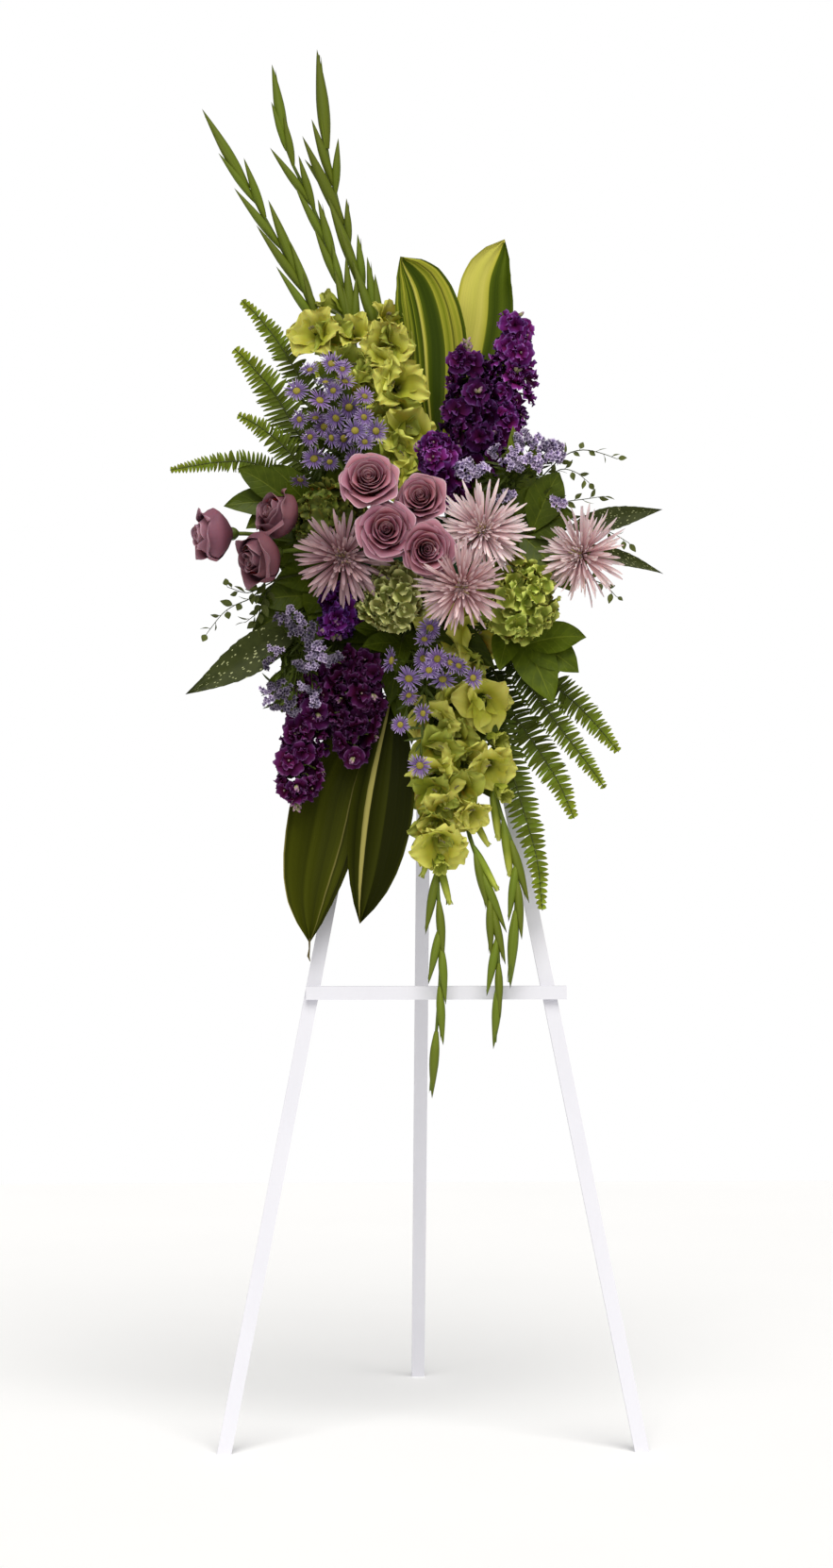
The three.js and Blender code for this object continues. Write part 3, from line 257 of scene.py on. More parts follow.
class Look:
    """One procedural material, built a node at a time."""

    def __init__(self, name, roughness=0.5, specular=0.2, **sockets):
        self.material = bpy.data.materials.new(name)
        self.material.use_nodes = True
        self.tree = self.material.node_tree
        self.shader = self.tree.nodes["Principled BSDF"]
        for socket, value in {"roughness": roughness, "specular_IOR_level": specular, **sockets}.items():
            words = [word if word == "IOR" else word.title() for word in socket.split("_")]
            self.shader.inputs[" ".join(words)].default_value = value
        attribute = self.add("Attribute", attribute_name="look")
        self.along, self.across, self.tint = self.add("SeparateXYZ", attribute.outputs["Vector"]).outputs

    def add(self, kind, *inputs, **settings):
        node = self.tree.nodes.new("ShaderNode" + kind)
        for key, value in settings.items():
            setattr(node, key, value)
        for i, value in enumerate(inputs):
            self.feed(node.inputs[i], value)
        return node

    def feed(self, socket, value):
        if isinstance(value, bpy.types.NodeSocket):
            self.tree.links.new(value, socket)
        else:
            socket.default_value = value

    def math(self, operation, *inputs, clamp=False):
        return self.add("Math", *inputs, operation=operation, use_clamp=clamp).outputs[0]

    def blend(self, factor, a, b):
        node = self.add("Mix", data_type="RGBA")
        for i, value in ((0, factor), (6, a), (7, b)):
            self.feed(node.inputs[i], (*value, 1) if isinstance(value, tuple) else value)
        return node.outputs[2]

    def ramp(self, value, stops, interpolation="EASE"):
        node = self.add("ValToRGB", value)
        ramp = node.color_ramp
        ramp.interpolation = interpolation
        while len(ramp.elements) < len(stops):
            ramp.elements.new(0.5)
        for element, (position, colour) in zip(ramp.elements, stops):
            element.position = position
            element.color = (*colour, 1)
        return node.outputs[0]

    def rough(self, value, low, high):
        """Roughness from low, where value is 0.3, to high, where it is 0.7."""
        level = self.ramp(value, [(0.3, (low,) * 3), (0.7, (high,) * 3)])
        self.feed(self.shader.inputs["Roughness"], level)

    def noise(self, vector, scale, detail):
        node = self.add("TexNoise", vector)
        node.inputs["Scale"].default_value = scale
        node.inputs["Detail"].default_value = detail
        return node.outputs[0]

    def spread(self, across, along, tint=61.0):
        """A place on the petal or leaf: across and along say how often a texture changes each way."""
        parts = ((self.across, across), (self.along, along), (self.tint, tint))
        return self.add("CombineXYZ", *(self.math("MULTIPLY", part, by) for part, by in parts)).outputs[0]

    def streaks(self, across, along, detail=2.0):
        """Noise drawn out along the petal or leaf."""
        return self.noise(self.spread(across, along), 1.0, detail)

    def object_noise(self, scale, detail=3.0):
        return self.noise(self.add("TexCoord").outputs["Object"], scale, detail)

    def cells(self, vector, scale):
        node = self.add("TexVoronoi", vector)
        node.inputs["Scale"].default_value = scale
        return node.outputs["Distance"]

    def bump(self, height, strength, distance):
        node = self.add("Bump")
        node.inputs["Strength"].default_value = strength
        node.inputs["Distance"].default_value = distance
        self.feed(node.inputs["Height"], height)
        self.feed(self.shader.inputs["Normal"], node.outputs[0])

    def done(self, colour):
        self.feed(self.shader.inputs["Base Color"], colour)
        return self.material

    def shaded(self, colour, grain, spread, tint_spread, hue=0.5):
        """Done, with brightness up to half of each spread more or less, by grain and by tint."""
        by_grain = self.math("MULTIPLY_ADD", grain, spread, 1 - spread / 2)
        by_tint = self.math("MULTIPLY_ADD", self.tint, tint_spread, 1 - tint_spread / 2)
        bright = self.math("MULTIPLY", by_grain, by_tint)
        return self.done(self.add("HueSaturation", hue, 1.0, bright, 1.0, colour).outputs[0])


def petal_look(
    name, stops, veins=(9, 1.5), vein_depth=0.25, tint_depth=0.25, hue=0.02, roughness=0.55, bump=0.25,
    **sockets,
):
    """A petal: stops are its colours from foot to rim. Hue is how far they shift from tint to tint."""
    look = Look(name, roughness, **sockets)
    streak = look.streaks(*veins)
    look.bump(streak, bump, 0.0006)
    shift = look.math("MULTIPLY_ADD", look.tint, hue, 0.5 - hue / 2)
    return look.shaded(look.ramp(look.along, stops), streak, vein_depth, tint_depth, shift)


def leaf_look(name, dark, light, rib, roughness=0.35, **sockets):
    """A net-veined leaf: a pale midrib and side veins that run out towards the tip."""
    look = Look(name, roughness, **sockets)
    offset = look.math("ABSOLUTE", look.across)
    run = look.math("SUBTRACT", look.math("MULTIPLY", look.along, 7.0), look.math("MULTIPLY", offset, 1.6))
    wave = look.math("ABSOLUTE", look.math("SINE", look.math("MULTIPLY", run, math.pi)))
    trough = look.math("SMOOTH_MIN", look.math("MULTIPLY", wave, 3.0), 1.0)
    vein = look.math("SUBTRACT", 1.0, trough, clamp=True)
    midrib = look.math("SUBTRACT", 1.0, look.math("MULTIPLY", offset, 16.0), clamp=True)
    mottle = look.object_noise(60)
    colour = look.blend(mottle, dark, light)
    colour = look.blend(look.math("MULTIPLY", vein, 0.22), colour, rib)
    colour = look.blend(look.math("MULTIPLY", midrib, 0.75), colour, rib)
    dent = look.math("ADD", look.math("MULTIPLY", vein, -0.6), look.math("MULTIPLY", midrib, -1.0))
    look.bump(dent, 0.4, 0.0008)
    return look.shaded(colour, mottle, 0.3, 0.35)


def band_look(name, bands, streak_depth=0.35, **sockets):
    """A strap leaf: bands are colours from its left edge to its right one, drawn out by fine streaks."""
    look = Look(name, 0.42, **sockets)
    fine = look.streaks(26, 1.0, 3.0)
    place = look.math("MULTIPLY_ADD", look.across, 0.5, 0.5)
    wander = look.math("MULTIPLY_ADD", look.streaks(3.0, 1.2), 0.06, -0.03)
    fray = look.math("MULTIPLY_ADD", fine, 0.07, -0.035)
    place = look.math("ADD", look.math("ADD", place, wander), fray)
    look.bump(fine, 0.35, 0.0008)
    return look.shaded(look.ramp(place, bands, "LINEAR"), fine, streak_depth, 0.1)


def spotted_look():
    look = Look("spotted_leaf", 0.5, 0.12)
    place = look.spread(6.0, 22.0, 40.0)
    size = look.math("MULTIPLY", look.noise(place, 0.9, 2), 0.5)
    dot = look.math("LESS_THAN", look.cells(place, 1.0), look.math("SUBTRACT", size, 0.06))
    mottle = look.object_noise(70)
    colour = look.blend(mottle, (0.022, 0.030, 0.005), (0.052, 0.062, 0.012))
    colour = look.blend(look.math("MULTIPLY", dot, 0.8), colour, (0.48, 0.50, 0.24))
    look.bump(dot, 0.2, 0.0004)
    return look.shaded(colour, mottle, 0.3, 0.2)


def stem_look(name, low, high):
    look = Look(name)
    mottle = look.object_noise(90)
    look.bump(mottle, 0.15, 0.0005)
    return look.shaded(look.blend(mottle, low, high), mottle, 0.3, 0.3)


def disc_look(name, low, high):
    look = Look(name, 0.7)
    speck = look.object_noise(900, 2)
    look.bump(speck, 0.6, 0.0006)
    return look.shaded(look.blend(speck, low, high), speck, 0.4, 0.3)


def paint_look():
    """White paint over wood: faint grain, brushed along the stick, and a little wear in the gloss."""
    look = Look("white_paint", 0.45)
    place = look.add("Mapping", look.add("TexCoord").outputs["Object"])
    place.inputs["Scale"].default_value = (1, 1, 0.06)
    grain = look.noise(place.outputs[0], 220, 4)
    look.rough(grain, 0.38, 0.55)
    look.bump(grain, 0.25, 0.0004)
    colour = look.blend(look.object_noise(9, 2), (0.72, 0.715, 0.77), (0.77, 0.765, 0.81))
    return look.done(look.blend(look.math("MULTIPLY", grain, 0.15), colour, (0.58, 0.57, 0.6)))


def metal_look():
    look = Look("zinc_steel", 0.35, metallic=1.0)
    spangle = look.object_noise(400, 2)
    look.rough(spangle, 0.28, 0.45)
    return look.done(look.blend(spangle, (0.45, 0.46, 0.47), (0.62, 0.63, 0.64)))


def plastic_look():
    look = Look("tray_plastic", 0.42)
    cloud = look.object_noise(120)
    look.bump(cloud, 0.2, 0.0003)
    return look.done(look.blend(cloud, (0.008, 0.03, 0.01), (0.014, 0.045, 0.016)))


def foam_look():
    """Wet floral foam: open cells and a few crumbled pits."""
    look = Look("wet_foam", 0.85)
    cells = look.cells(look.add("TexCoord").outputs["Object"], 900)
    cloud = look.object_noise(40, 4)
    look.bump(look.math("ADD", cells, cloud), 0.6, 0.0015)
    return look.shaded(look.blend(cloud, (0.012, 0.05, 0.018), (0.03, 0.09, 0.03)), cells, 0.5, 0.0)


def deeper(stops, *shares):
    """The same stops, with all channels of their colours taken by one share, or each by its own."""
    shares = (shares * 3)[:3]
    return [(place, tuple(share * part for share, part in zip(shares, colour))) for place, colour in stops]


# Petals

# Light passes a little way into a petal.
SOFT = dict(subsurface_weight=0.15)


def rose_look(name, stops):
    return petal_look(name, stops, (14, 2), 0.12, 0.16, roughness=0.6, bump=0.12, specular=0.1, **SOFT)


# Rose petals darken from the rim to the foot. The dark, saturated lower stops are painted shade for the
# grooves between the rings.
ROSE = rose_look("rose_petal", [
    (0.0, (0.045, 0.002, 0.006)), (0.50, (0.15, 0.026, 0.042)), (0.76, (0.30, 0.095, 0.13)),
    (0.90, (0.47, 0.205, 0.26)), (1.0, (0.80, 0.53, 0.58)),
])
# Stops for the cup roses at the left: darker than the open roses' as painted shade, and a little more mauve.
# rose_left_upper and rose_left_lower take a still darker copy, which is more painted shade.
SHADED_ROSE_STOPS = [
    (0.0, (0.05, 0.004, 0.010)), (0.50, (0.15, 0.044, 0.062)), (0.76, (0.24, 0.096, 0.130)),
    (0.90, (0.32, 0.15, 0.195)), (1.0, (0.49, 0.28, 0.34)),
]
SHADED_CUP_LOOK = rose_look("shaded_rose_cup_petal", deeper(SHADED_ROSE_STOPS, 0.72, 0.70, 0.66))
ROSE_LOOKS = {
    "rose_far_left": rose_look("rose_cup_petal", SHADED_ROSE_STOPS),
    "rose_left_upper": SHADED_CUP_LOOK,
    "rose_left_lower": SHADED_CUP_LOOK,
}


def mum_look(name, heart, middle, pale):
    stops = [(0.0, heart), (0.3, middle), (1.0, pale)]
    return petal_look(name, stops, (3, 2), 0.2, 0.3, bump=0.2, sheen_weight=0.1, **SOFT)


MUM = mum_look("mum_petal", (0.26, 0.07, 0.09), (0.58, 0.35, 0.37), (0.90, 0.72, 0.71))
MUM_LOOKS = {
    "mum_left": mum_look("dusky_mum_petal", (0.15, 0.04, 0.06), (0.29, 0.135, 0.155), (0.48, 0.31, 0.32)),
    "mum_lower": mum_look("shaded_mum_petal", (0.24, 0.05, 0.06), (0.44, 0.21, 0.22), (0.76, 0.54, 0.54)),
}


def hydrangea_look(name, heart, middle, rim):
    stops = [(0.0, heart), (0.45, middle), (0.65, middle), (1.0, rim)]
    return petal_look(name, stops, (5, 4), 0.28, 0.6, 0.03, roughness=0.6, bump=0.18, **SOFT)


HYDRANGEA_LOOKS = {
    "hydrangea_left": hydrangea_look(
        "dark_hydrangea", (0.12, 0.13, 0.014), (0.085, 0.105, 0.012), (0.18, 0.19, 0.028)),
    "hydrangea_centre": hydrangea_look(
        "pale_hydrangea", (0.19, 0.18, 0.032), (0.16, 0.17, 0.028), (0.80, 0.77, 0.29)),
    "hydrangea_right": hydrangea_look(
        "lime_hydrangea", (0.27, 0.27, 0.022), (0.16, 0.19, 0.012), (0.70, 0.72, 0.15)),
}


def gladiolus_look(name, *depth):
    stops = [
        (0.0, (0.12, 0.13, 0.01)), (0.3, (0.27, 0.28, 0.02)), (0.6, (0.45, 0.435, 0.04)),
        (1.0, (0.70, 0.66, 0.14)),
    ]
    stops = deeper(stops, *depth)
    return petal_look(name, stops, (9, 1.2), 0.16, 0.3, 0.014, bump=0.2, specular=0.12, **SOFT)


GLADIOLUS = gladiolus_look("gladiolus_petal", 1)
SHADED_GLADIOLUS = gladiolus_look("shaded_gladiolus_petal", 0.56, 0.63, 0.5)
GLADIOLUS_TIP = petal_look("gladiolus_opening", [
    (0.0, (0.12, 0.17, 0.012)), (0.5, (0.20, 0.25, 0.020)), (0.8, (0.36, 0.40, 0.05)),
    (1.0, (0.50, 0.52, 0.10)),
], (8, 1.0), 0.3, 0.3, 0.014, 0.45, 0.3)
GLADIOLUS_BUD = petal_look("gladiolus_bud", [
    (0.0, (0.15, 0.19, 0.014)), (0.4, (0.125, 0.165, 0.012)), (0.85, (0.12, 0.15, 0.013)),
    (1.0, (0.08, 0.10, 0.010)),
], (9, 0.8), 0.35, 0.3, 0.015, 0.45, 0.3)


def stock_look(name, depth, blue=1.0):
    stops = [
        (0.0, (0.036, 0.001, 0.013)), (0.5, (0.078, 0.003, 0.050)), (0.85, (0.125, 0.012, 0.132)),
        (1.0, (0.25, 0.10, 0.33)),
    ]
    return petal_look(
        name, deeper(stops, depth, depth, depth * blue), (4, 1.5), 0.5, 0.9, 0.07, 0.7, 0.3, specular=0.06)


STOCK = stock_look("stock_petal", 1.0)
# Lighter and darker copies of the stock look: painted light on stock_up_right, and painted shade on
# stock_up_left and on the low left and middle stocks under the roses. The low front one is also bluer.
STOCK_LOOKS = {
    "stock_up_left": stock_look("shaded_stock_petal", 0.54),
    "stock_up_right": stock_look("lit_stock_petal", 1.12),
    "stock_low_front": stock_look("violet_stock_petal", 0.74, 1.32),
    "stock_low_left": stock_look("shade_dark_stock_petal", 0.60, 0.82),
    "stock_low_middle": stock_look("deep_shade_stock_petal", 0.42, 0.80),
}
STOCK_BUD = petal_look("stock_bud", [
    (0.0, (0.16, 0.18, 0.05)), (0.5, (0.36, 0.34, 0.17)), (1.0, (0.34, 0.16, 0.30)),
], tint_depth=0.6)
ASTER = petal_look(
    "aster_petal", [(0.0, (0.12, 0.065, 0.19)), (0.5, (0.21, 0.125, 0.33)), (1.0, (0.43, 0.33, 0.54))],
    (2, 1), 0.2, 0.35, 0.03, 0.6, 0.1,
)


def statice_look(name, depth):
    stops = [(0.0, (0.09, 0.065, 0.14)), (0.5, (0.205, 0.155, 0.29)), (1.0, (0.54, 0.46, 0.60))]
    return petal_look(name, deeper(stops, depth), (6, 2), 0.3, 0.5, 0.03, 0.75, 0.3, specular=0.1)


# Each statice piece has its own look and a darker copy, which DIM_STATICE of its heads take at random:
# painted shade.
STATICE_LOOKS = {
    "statice_left": (statice_look("statice_petal", 1.08), statice_look("dim_statice_petal", 0.42)),
    "statice_right": (statice_look("pale_statice_petal", 1.5), statice_look("shaded_statice_petal", 0.9)),
}
ASTER_DISC = disc_look("aster_disc", (0.16, 0.13, 0.014), (0.40, 0.33, 0.05))
MUM_DISC = disc_look("mum_disc", (0.42, 0.34, 0.12), (0.78, 0.68, 0.34))
ANTHER = disc_look("gladiolus_anther", (0.20, 0.16, 0.10), (0.42, 0.38, 0.24))

# Stems and leaves

GREEN_STEM = stem_look("green_stem", (0.06, 0.09, 0.009), (0.12, 0.16, 0.018))
DARK_STEM = stem_look("dark_stem", (0.03, 0.042, 0.008), (0.07, 0.08, 0.016))
DRY_LEAF = stem_look("dry_leaf", (0.07, 0.054, 0.014), (0.15, 0.115, 0.036))
SEPAL = leaf_look("rose_sepal", (0.035, 0.052, 0.007), (0.075, 0.10, 0.012), (0.12, 0.15, 0.03))
FERN = petal_look("fern_leaf", [
    (0.0, (0.026, 0.040, 0.003)), (0.35, (0.06, 0.082, 0.005)), (0.75, (0.12, 0.16, 0.008)),
    (1.0, (0.20, 0.245, 0.012)),
], (4, 30), 0.3, 0.4, 0.015, 0.55, 0.3, specular=0.12)
SALAL = leaf_look(
    "salal_leaf", (0.034, 0.054, 0.003), (0.085, 0.115, 0.006), (0.15, 0.18, 0.016), 0.42, specular=0.12)
# Lit and shaded copies of the salal leaf: painted light for salal_lower_right, and painted shade for
# salal_centre, whose leaves fill the gaps behind the flowers.
LIT_SALAL = leaf_look(
    "lit_salal_leaf", (0.045, 0.072, 0.004), (0.115, 0.155, 0.008), (0.19, 0.23, 0.02), 0.45, specular=0.08)
SHADED_SALAL = leaf_look(
    "shaded_salal_leaf", (0.022, 0.034, 0.002), (0.058, 0.08, 0.004), (0.11, 0.14, 0.012), 0.45, specular=0.08)
YOUNG_SALAL = leaf_look("young_leaf", (0.12, 0.17, 0.010), (0.19, 0.24, 0.018), (0.28, 0.32, 0.06), 0.4)
EUCALYPTUS = leaf_look(
    "eucalyptus_leaf", (0.055, 0.072, 0.013), (0.12, 0.14, 0.024), (0.16, 0.18, 0.05), 0.55)
SPOTTED = spotted_look()

GREEN_DARK, GREEN_MID, GREEN_LIGHT = (0.038, 0.062, 0.002), (0.085, 0.12, 0.005), (0.19, 0.23, 0.010)
DULL_LIME, LIME = (0.30, 0.32, 0.024), (0.46, 0.44, 0.045)
YELLOW_LIME, PALE_LIME = (0.60, 0.57, 0.10), (0.66, 0.61, 0.12)
CREAM, DULL_CREAM = (0.34, 0.30, 0.085), (0.17, 0.15, 0.04)
# SHADE, SHADE_MID and SHADE_LIGHT are the lower strap leaves' greens darkened: painted shade, as they hang
# below the flowers.
SHADE, SHADE_MID, SHADE_LIGHT = (0.012, 0.014, 0.001), (0.030, 0.034, 0.002), (0.050, 0.056, 0.003)
STRAP_LOOKS = {
    "leaf_up_left": band_look("strap_stripes", [
        (0.0, GREEN_LIGHT), (0.03, GREEN_MID), (0.055, DULL_LIME), (0.07, GREEN_MID), (0.12, GREEN_DARK),
        (0.145, DULL_LIME), (0.16, GREEN_MID), (0.19, LIME), (0.205, GREEN_MID), (0.24, DULL_LIME),
        (0.25, GREEN_MID), (0.28, GREEN_DARK), (0.30, DULL_LIME), (0.315, GREEN_MID), (0.36, GREEN_DARK),
        (0.385, PALE_LIME), (0.415, LIME), (0.43, GREEN_MID), (0.50, GREEN_DARK), (0.60, GREEN_DARK),
        (0.66, GREEN_MID), (0.68, LIME), (0.71, DULL_LIME), (0.75, GREEN_LIGHT), (0.79, LIME),
        (0.81, GREEN_DARK), (0.86, LIME), (0.91, DULL_LIME), (0.955, LIME), (0.97, GREEN_DARK),
        (1.0, GREEN_MID),
    ], 0.5, specular=0.08),
    "leaf_up_right": band_look("strap_half", [
        (0.0, LIME), (0.10, PALE_LIME), (0.30, YELLOW_LIME), (0.45, PALE_LIME), (0.56, LIME),
        (0.575, GREEN_MID), (0.68, GREEN_DARK), (0.80, GREEN_MID), (0.92, GREEN_DARK), (1.0, GREEN_MID),
    ], specular=0.06),
    "leaf_down_left": band_look("strap_edge", [
        (0.0, CREAM), (0.03, SHADE_MID), (0.12, SHADE_LIGHT), (0.34, SHADE_MID), (0.40, SHADE_LIGHT),
        (0.60, SHADE_MID), (0.77, SHADE_LIGHT), (0.782, DULL_CREAM), (0.795, SHADE_MID), (0.89, SHADE_LIGHT),
        (0.92, SHADE), (1.0, SHADE_MID),
    ], specular=0.03),
    "leaf_down_right": band_look("strap_line", [
        (0.0, SHADE_MID), (0.12, SHADE), (0.22, SHADE_MID), (0.24, CREAM), (0.31, CREAM), (0.325, SHADE),
        (0.55, SHADE_MID), (0.58, SHADE), (0.94, SHADE), (1.0, SHADE_MID),
    ], specular=0.03),
}


# Stems in the foam

ROSE_STEM, MUM_STEM, HYDRANGEA_STEM, SPRAY_STEM, HEAD_STALK = 3.0, 2.7, 3.0, 2.0, 0.8
LEAF_STEM, STRAP_STEM, TWIG_STEM = 1.9, 2.8, 1.7
# These taper from the first radius to the second.
GLADIOLUS_STEM, STOCK_STEM, FERN_RIB, TWIG = (4.2, 2.0), (3.6, 1.4), (1.9, 0.7), (1.1, 0.5)


def foam_mouth(target):
    """Where the line from the foam's middle to target leaves the foam, and where a stem on it ends inside."""
    local = target - FOAM_CENTRE
    local[1] -= LEAN * local[2]
    scale = np.min(FOAM_HALF / np.maximum(np.abs(local), 1e-6))
    inner = max(scale * 0.35, scale - STEM_IN_FOAM / np.linalg.norm(local))
    x, y, z = local[0], local[1] + LEAN * local[2], local[2]
    return [FOAM_CENTRE + vec(x * k, y * k, z * k) for k in (scale, inner)]


def bloom_line(base, facing):
    """A bloom's stem: straight out of the foam, then bent to meet the bloom's back."""
    mouth, inner = foam_mouth(base)
    reach = np.linalg.norm(base - mouth)
    a, b, c, d = mouth, mouth + unit(mouth - inner) * reach * 0.45, base - facing * reach * 0.3, base
    t = np.linspace(0.02, 1, 10)[:, None]
    bend = (1 - t) ** 3 * a + 3 * (1 - t) ** 2 * t * b + 3 * (1 - t) * t**2 * c + t**3 * d
    return np.vstack([inner, bend])


# Roses

ROSE_ROWS = np.array([0, 0.22, 0.40, 0.54, 0.66, 0.73, 0.79, 0.85, 0.90, 0.95, 1.0])
ROSE_DEPTH = 0.8
SEPALS = 5
# Each ring: how many petals, belly, rim and height as shares of the radius, half a petal's turn, and lip.
OPEN_ROSE = [
    (3, 0.05, 0.05, 0.97, 2.3, 0.030), (3, 0.12, 0.13, 1.00, 2.1, 0.032), (4, 0.21, 0.23, 1.01, 1.6, 0.036),
    (4, 0.31, 0.35, 1.02, 1.4, 0.042), (4, 0.42, 0.49, 1.02, 1.25, 0.05), (4, 0.54, 0.64, 0.97, 1.15, 0.065),
    (5, 0.66, 0.80, 0.84, 0.95, 0.085), (5, 0.70, 0.93, 0.62, 0.92, 0.090),
]
CUP_ROSE = [
    (3, 0.10, 0.05, 1.34, 2.3, 0.030), (3, 0.26, 0.12, 1.40, 2.2, 0.035), (3, 0.46, 0.24, 1.44, 2.0, 0.045),
    (3, 0.68, 0.40, 1.48, 1.8, 0.060), (3, 0.88, 0.60, 1.46, 1.6, 0.090), (3, 1.02, 0.82, 1.38, 1.35, 0.190),
]


def rose_petal(base, axes, radius, full, share, ring, angle, phase):
    """One petal of a ring. Share is 0 for the innermost ring and 1 for the outermost. Full is where the ring
    is widest, from 0 at its foot to 1 at its rim."""
    belly, rim, height, half_turn, roll = ring
    t = ROSE_ROWS[:, None]
    u = np.linspace(-1, 1, 15)[None, :]
    root = min(0.14, 0.8 * belly)
    r = root + (belly - root) * np.sin(math.pi / 2 * np.minimum(1, t / full))
    r = r + (rim - belly) * smooth(t, 0.18 + 0.5 * full, 1)
    z = height * t**1.1 * (1 - (0.05 + 0.14 * share) * np.abs(u) ** 2.4 * t**2)
    lip = roll * (0.8 + 0.45 * np.cos(1.6 * u + phase))
    rolled = (2.2 + 0.6 * share) * smooth(t, 0.66, 1)
    r = r + lip * (1 - np.cos(rolled))
    z = z + lip * (np.sin(rolled) - 0.35 * rolled)
    r = r + (0.03 + 0.02 * share) * u * t + 0.03 * (0.2 + share) * np.sin(2.6 * u + phase) * t**2
    z = z + 0.026 * (0.4 + share) * np.sin(3.3 * u + 2 * phase) * t**3
    point = np.exp(-((u / 0.26) ** 2)) * smooth(t, 0.78, 1) * share
    r = r + (0.05 + roll) * point
    z = z - 0.04 * point
    turn = angle + half_turn * u * (0.84 + 0.16 * t if full < 0.6 else 1.04 - 0.40 * t**2)
    return base + radius * (r[..., None] * circle(axes.right, axes.up, turn) + z[..., None] * axes.d)


def rose(piece, at, facing, radius, mouth=None):
    """An open rose, or a cup that has still to open when its mouth is given as a share of the widest one."""
    rings, full = (CUP_ROSE, 0.66) if mouth else (OPEN_ROSE, 0.55)
    colour = ROSE_LOOKS.get(piece.name, ROSE)
    axes = Axes(facing)
    base = vec(*at) - ROSE_DEPTH * radius * axes.d
    rng = piece.rng
    turn = 6 * rng.random()
    for i, (count, belly, rim, height, *rest) in enumerate(rings):
        share = i / (len(rings) - 1)
        turn += 0.9
        for k in range(count):
            angle = turn + 2 * math.pi * (k + 0.22 * rng.random()) / count
            ring = (belly, rim * (mouth or 1), height * (0.98 + 0.04 * rng.random()), *rest)
            sheet = rose_petal(base, axes, radius, full, share, ring, angle, 6 * rng.random())
            # Inner rings run the whole ramp and outer ones start halfway along it, so the painted groove
            # shade is deepest in the heart.
            piece.add(sheet, colour, along=(0.5 * share, 1))
    line = bloom_line(base, axes.d)
    foot = base - 0.24 * radius * axes.d
    piece.pod(SEPAL, foot, axes.d, 0.40 * radius, 0.26 * radius, [0.3, 0.8, 1, 0.95, 0.8])
    for i in range(SEPALS):
        out = axes.out(2 * math.pi * i / SEPALS + 0.4)
        start = base + 0.14 * radius * out - 0.04 * radius * axes.d
        sepal = petal(
            start, out + 0.5 * axes.d, axes.d, 0.7 * radius, 4.0, [0.7, 1, 0.8, 0.5, 0.1], [0.5, 0.3, -0.5],
            cup=0.6,
        )
        piece.add(sepal, SEPAL)
    piece.rod(GREEN_STEM, line, ROSE_STEM)


# Chrysanthemums

MUM_DEPTH = 0.3
MUM_GRAINS = 54
MUM_GAPS = 0.05
# Each tier: quills, angle from the axis, length and half width as a share of the head's radius.
MUM_TIERS = [
    (26, 1.86, 0.98, 0.037), (28, 1.62, 1.03, 0.038), (29, 1.40, 1.02, 0.038), (28, 1.20, 0.96, 0.037),
    (26, 1.00, 0.88, 0.036), (25, 0.82, 0.74, 0.034), (22, 0.64, 0.60, 0.031), (20, 0.46, 0.47, 0.027),
    (16, 0.28, 0.36, 0.023),
]
QUILL_OUTLINE = [0.36, 0.46, 0.60, 0.80, 0.96, 1.0, 0.86, 0.28]
QUILL_CUP = [1.5, 1.4, 1.3, 1.2, 1.1, 1.0, 0.8, 0.6, 0.4]


def mum(piece, at, facing, radius, broad=1.0):
    """A broad mum has fewer, wider quills."""
    axes = Axes(facing)
    base = vec(*at) - MUM_DEPTH * radius * axes.d
    rng = piece.rng
    colour = MUM_LOOKS.get(piece.name, MUM)
    for tier, (count, tilt, length, half) in enumerate(MUM_TIERS):
        count = round(count / broad)
        for i in range(count):
            if rng.random() < MUM_GAPS:
                continue
            out = axes.out(2 * math.pi * (i + 0.9 * rng.random()) / count + tier)
            lean = tilt * 0.68 + 0.22 * (rng.random() - 0.5)
            inward = math.sin(lean) * axes.d - math.cos(lean) * out
            start = base + 0.10 * radius * out * math.sin(tilt) + (0.22 - 0.12 * tilt) * radius * axes.d
            droop = -0.40 * tilt - 0.16 * rng.random()
            curl = (0.1 + rng.random()) * (1.6 if tier > 5 else 1.0)
            along = turned(axes.d, out, lean) + 0.17 * rng.standard_normal() * np.cross(axes.d, out)
            quill = petal(
                start, along, inward, length * radius * (0.70 + 0.36 * rng.random()),
                half * broad * radius * (0.8 + 0.4 * rng.random()), QUILL_OUTLINE,
                [0, droop, droop * 1.1, droop * 0.9, droop + curl * 0.6], rows=8, cols=4, cup=QUILL_CUP,
                phase=6 * rng.random(), ruffle=0.008 * radius,
            )
            piece.add(quill, colour)
    for i in range(MUM_GRAINS):
        out = turned(axes.d, axes.out(i * GOLDEN_ANGLE), math.sqrt((i + 0.5) / MUM_GRAINS))
        length = (0.18 + 0.11 * rng.random()) * radius
        piece.pod(
            colour if i % 3 else MUM_DISC, base + 0.16 * radius * axes.d, out, length, 0.018 * radius,
            [0.6, 0.8, 1, 0.5], 3, 5,
        )
    profile = [0.15, 0.6, 0.9, 1, 0.9]
    piece.pod(SEPAL, base - 0.14 * radius * axes.d, axes.d, 0.3 * radius, 0.24 * radius, profile, 6, 12)
    piece.rod(GREEN_STEM, bloom_line(base, axes.d), MUM_STEM)


# Hydrangeas

HYDRANGEA_FLORETS = 70


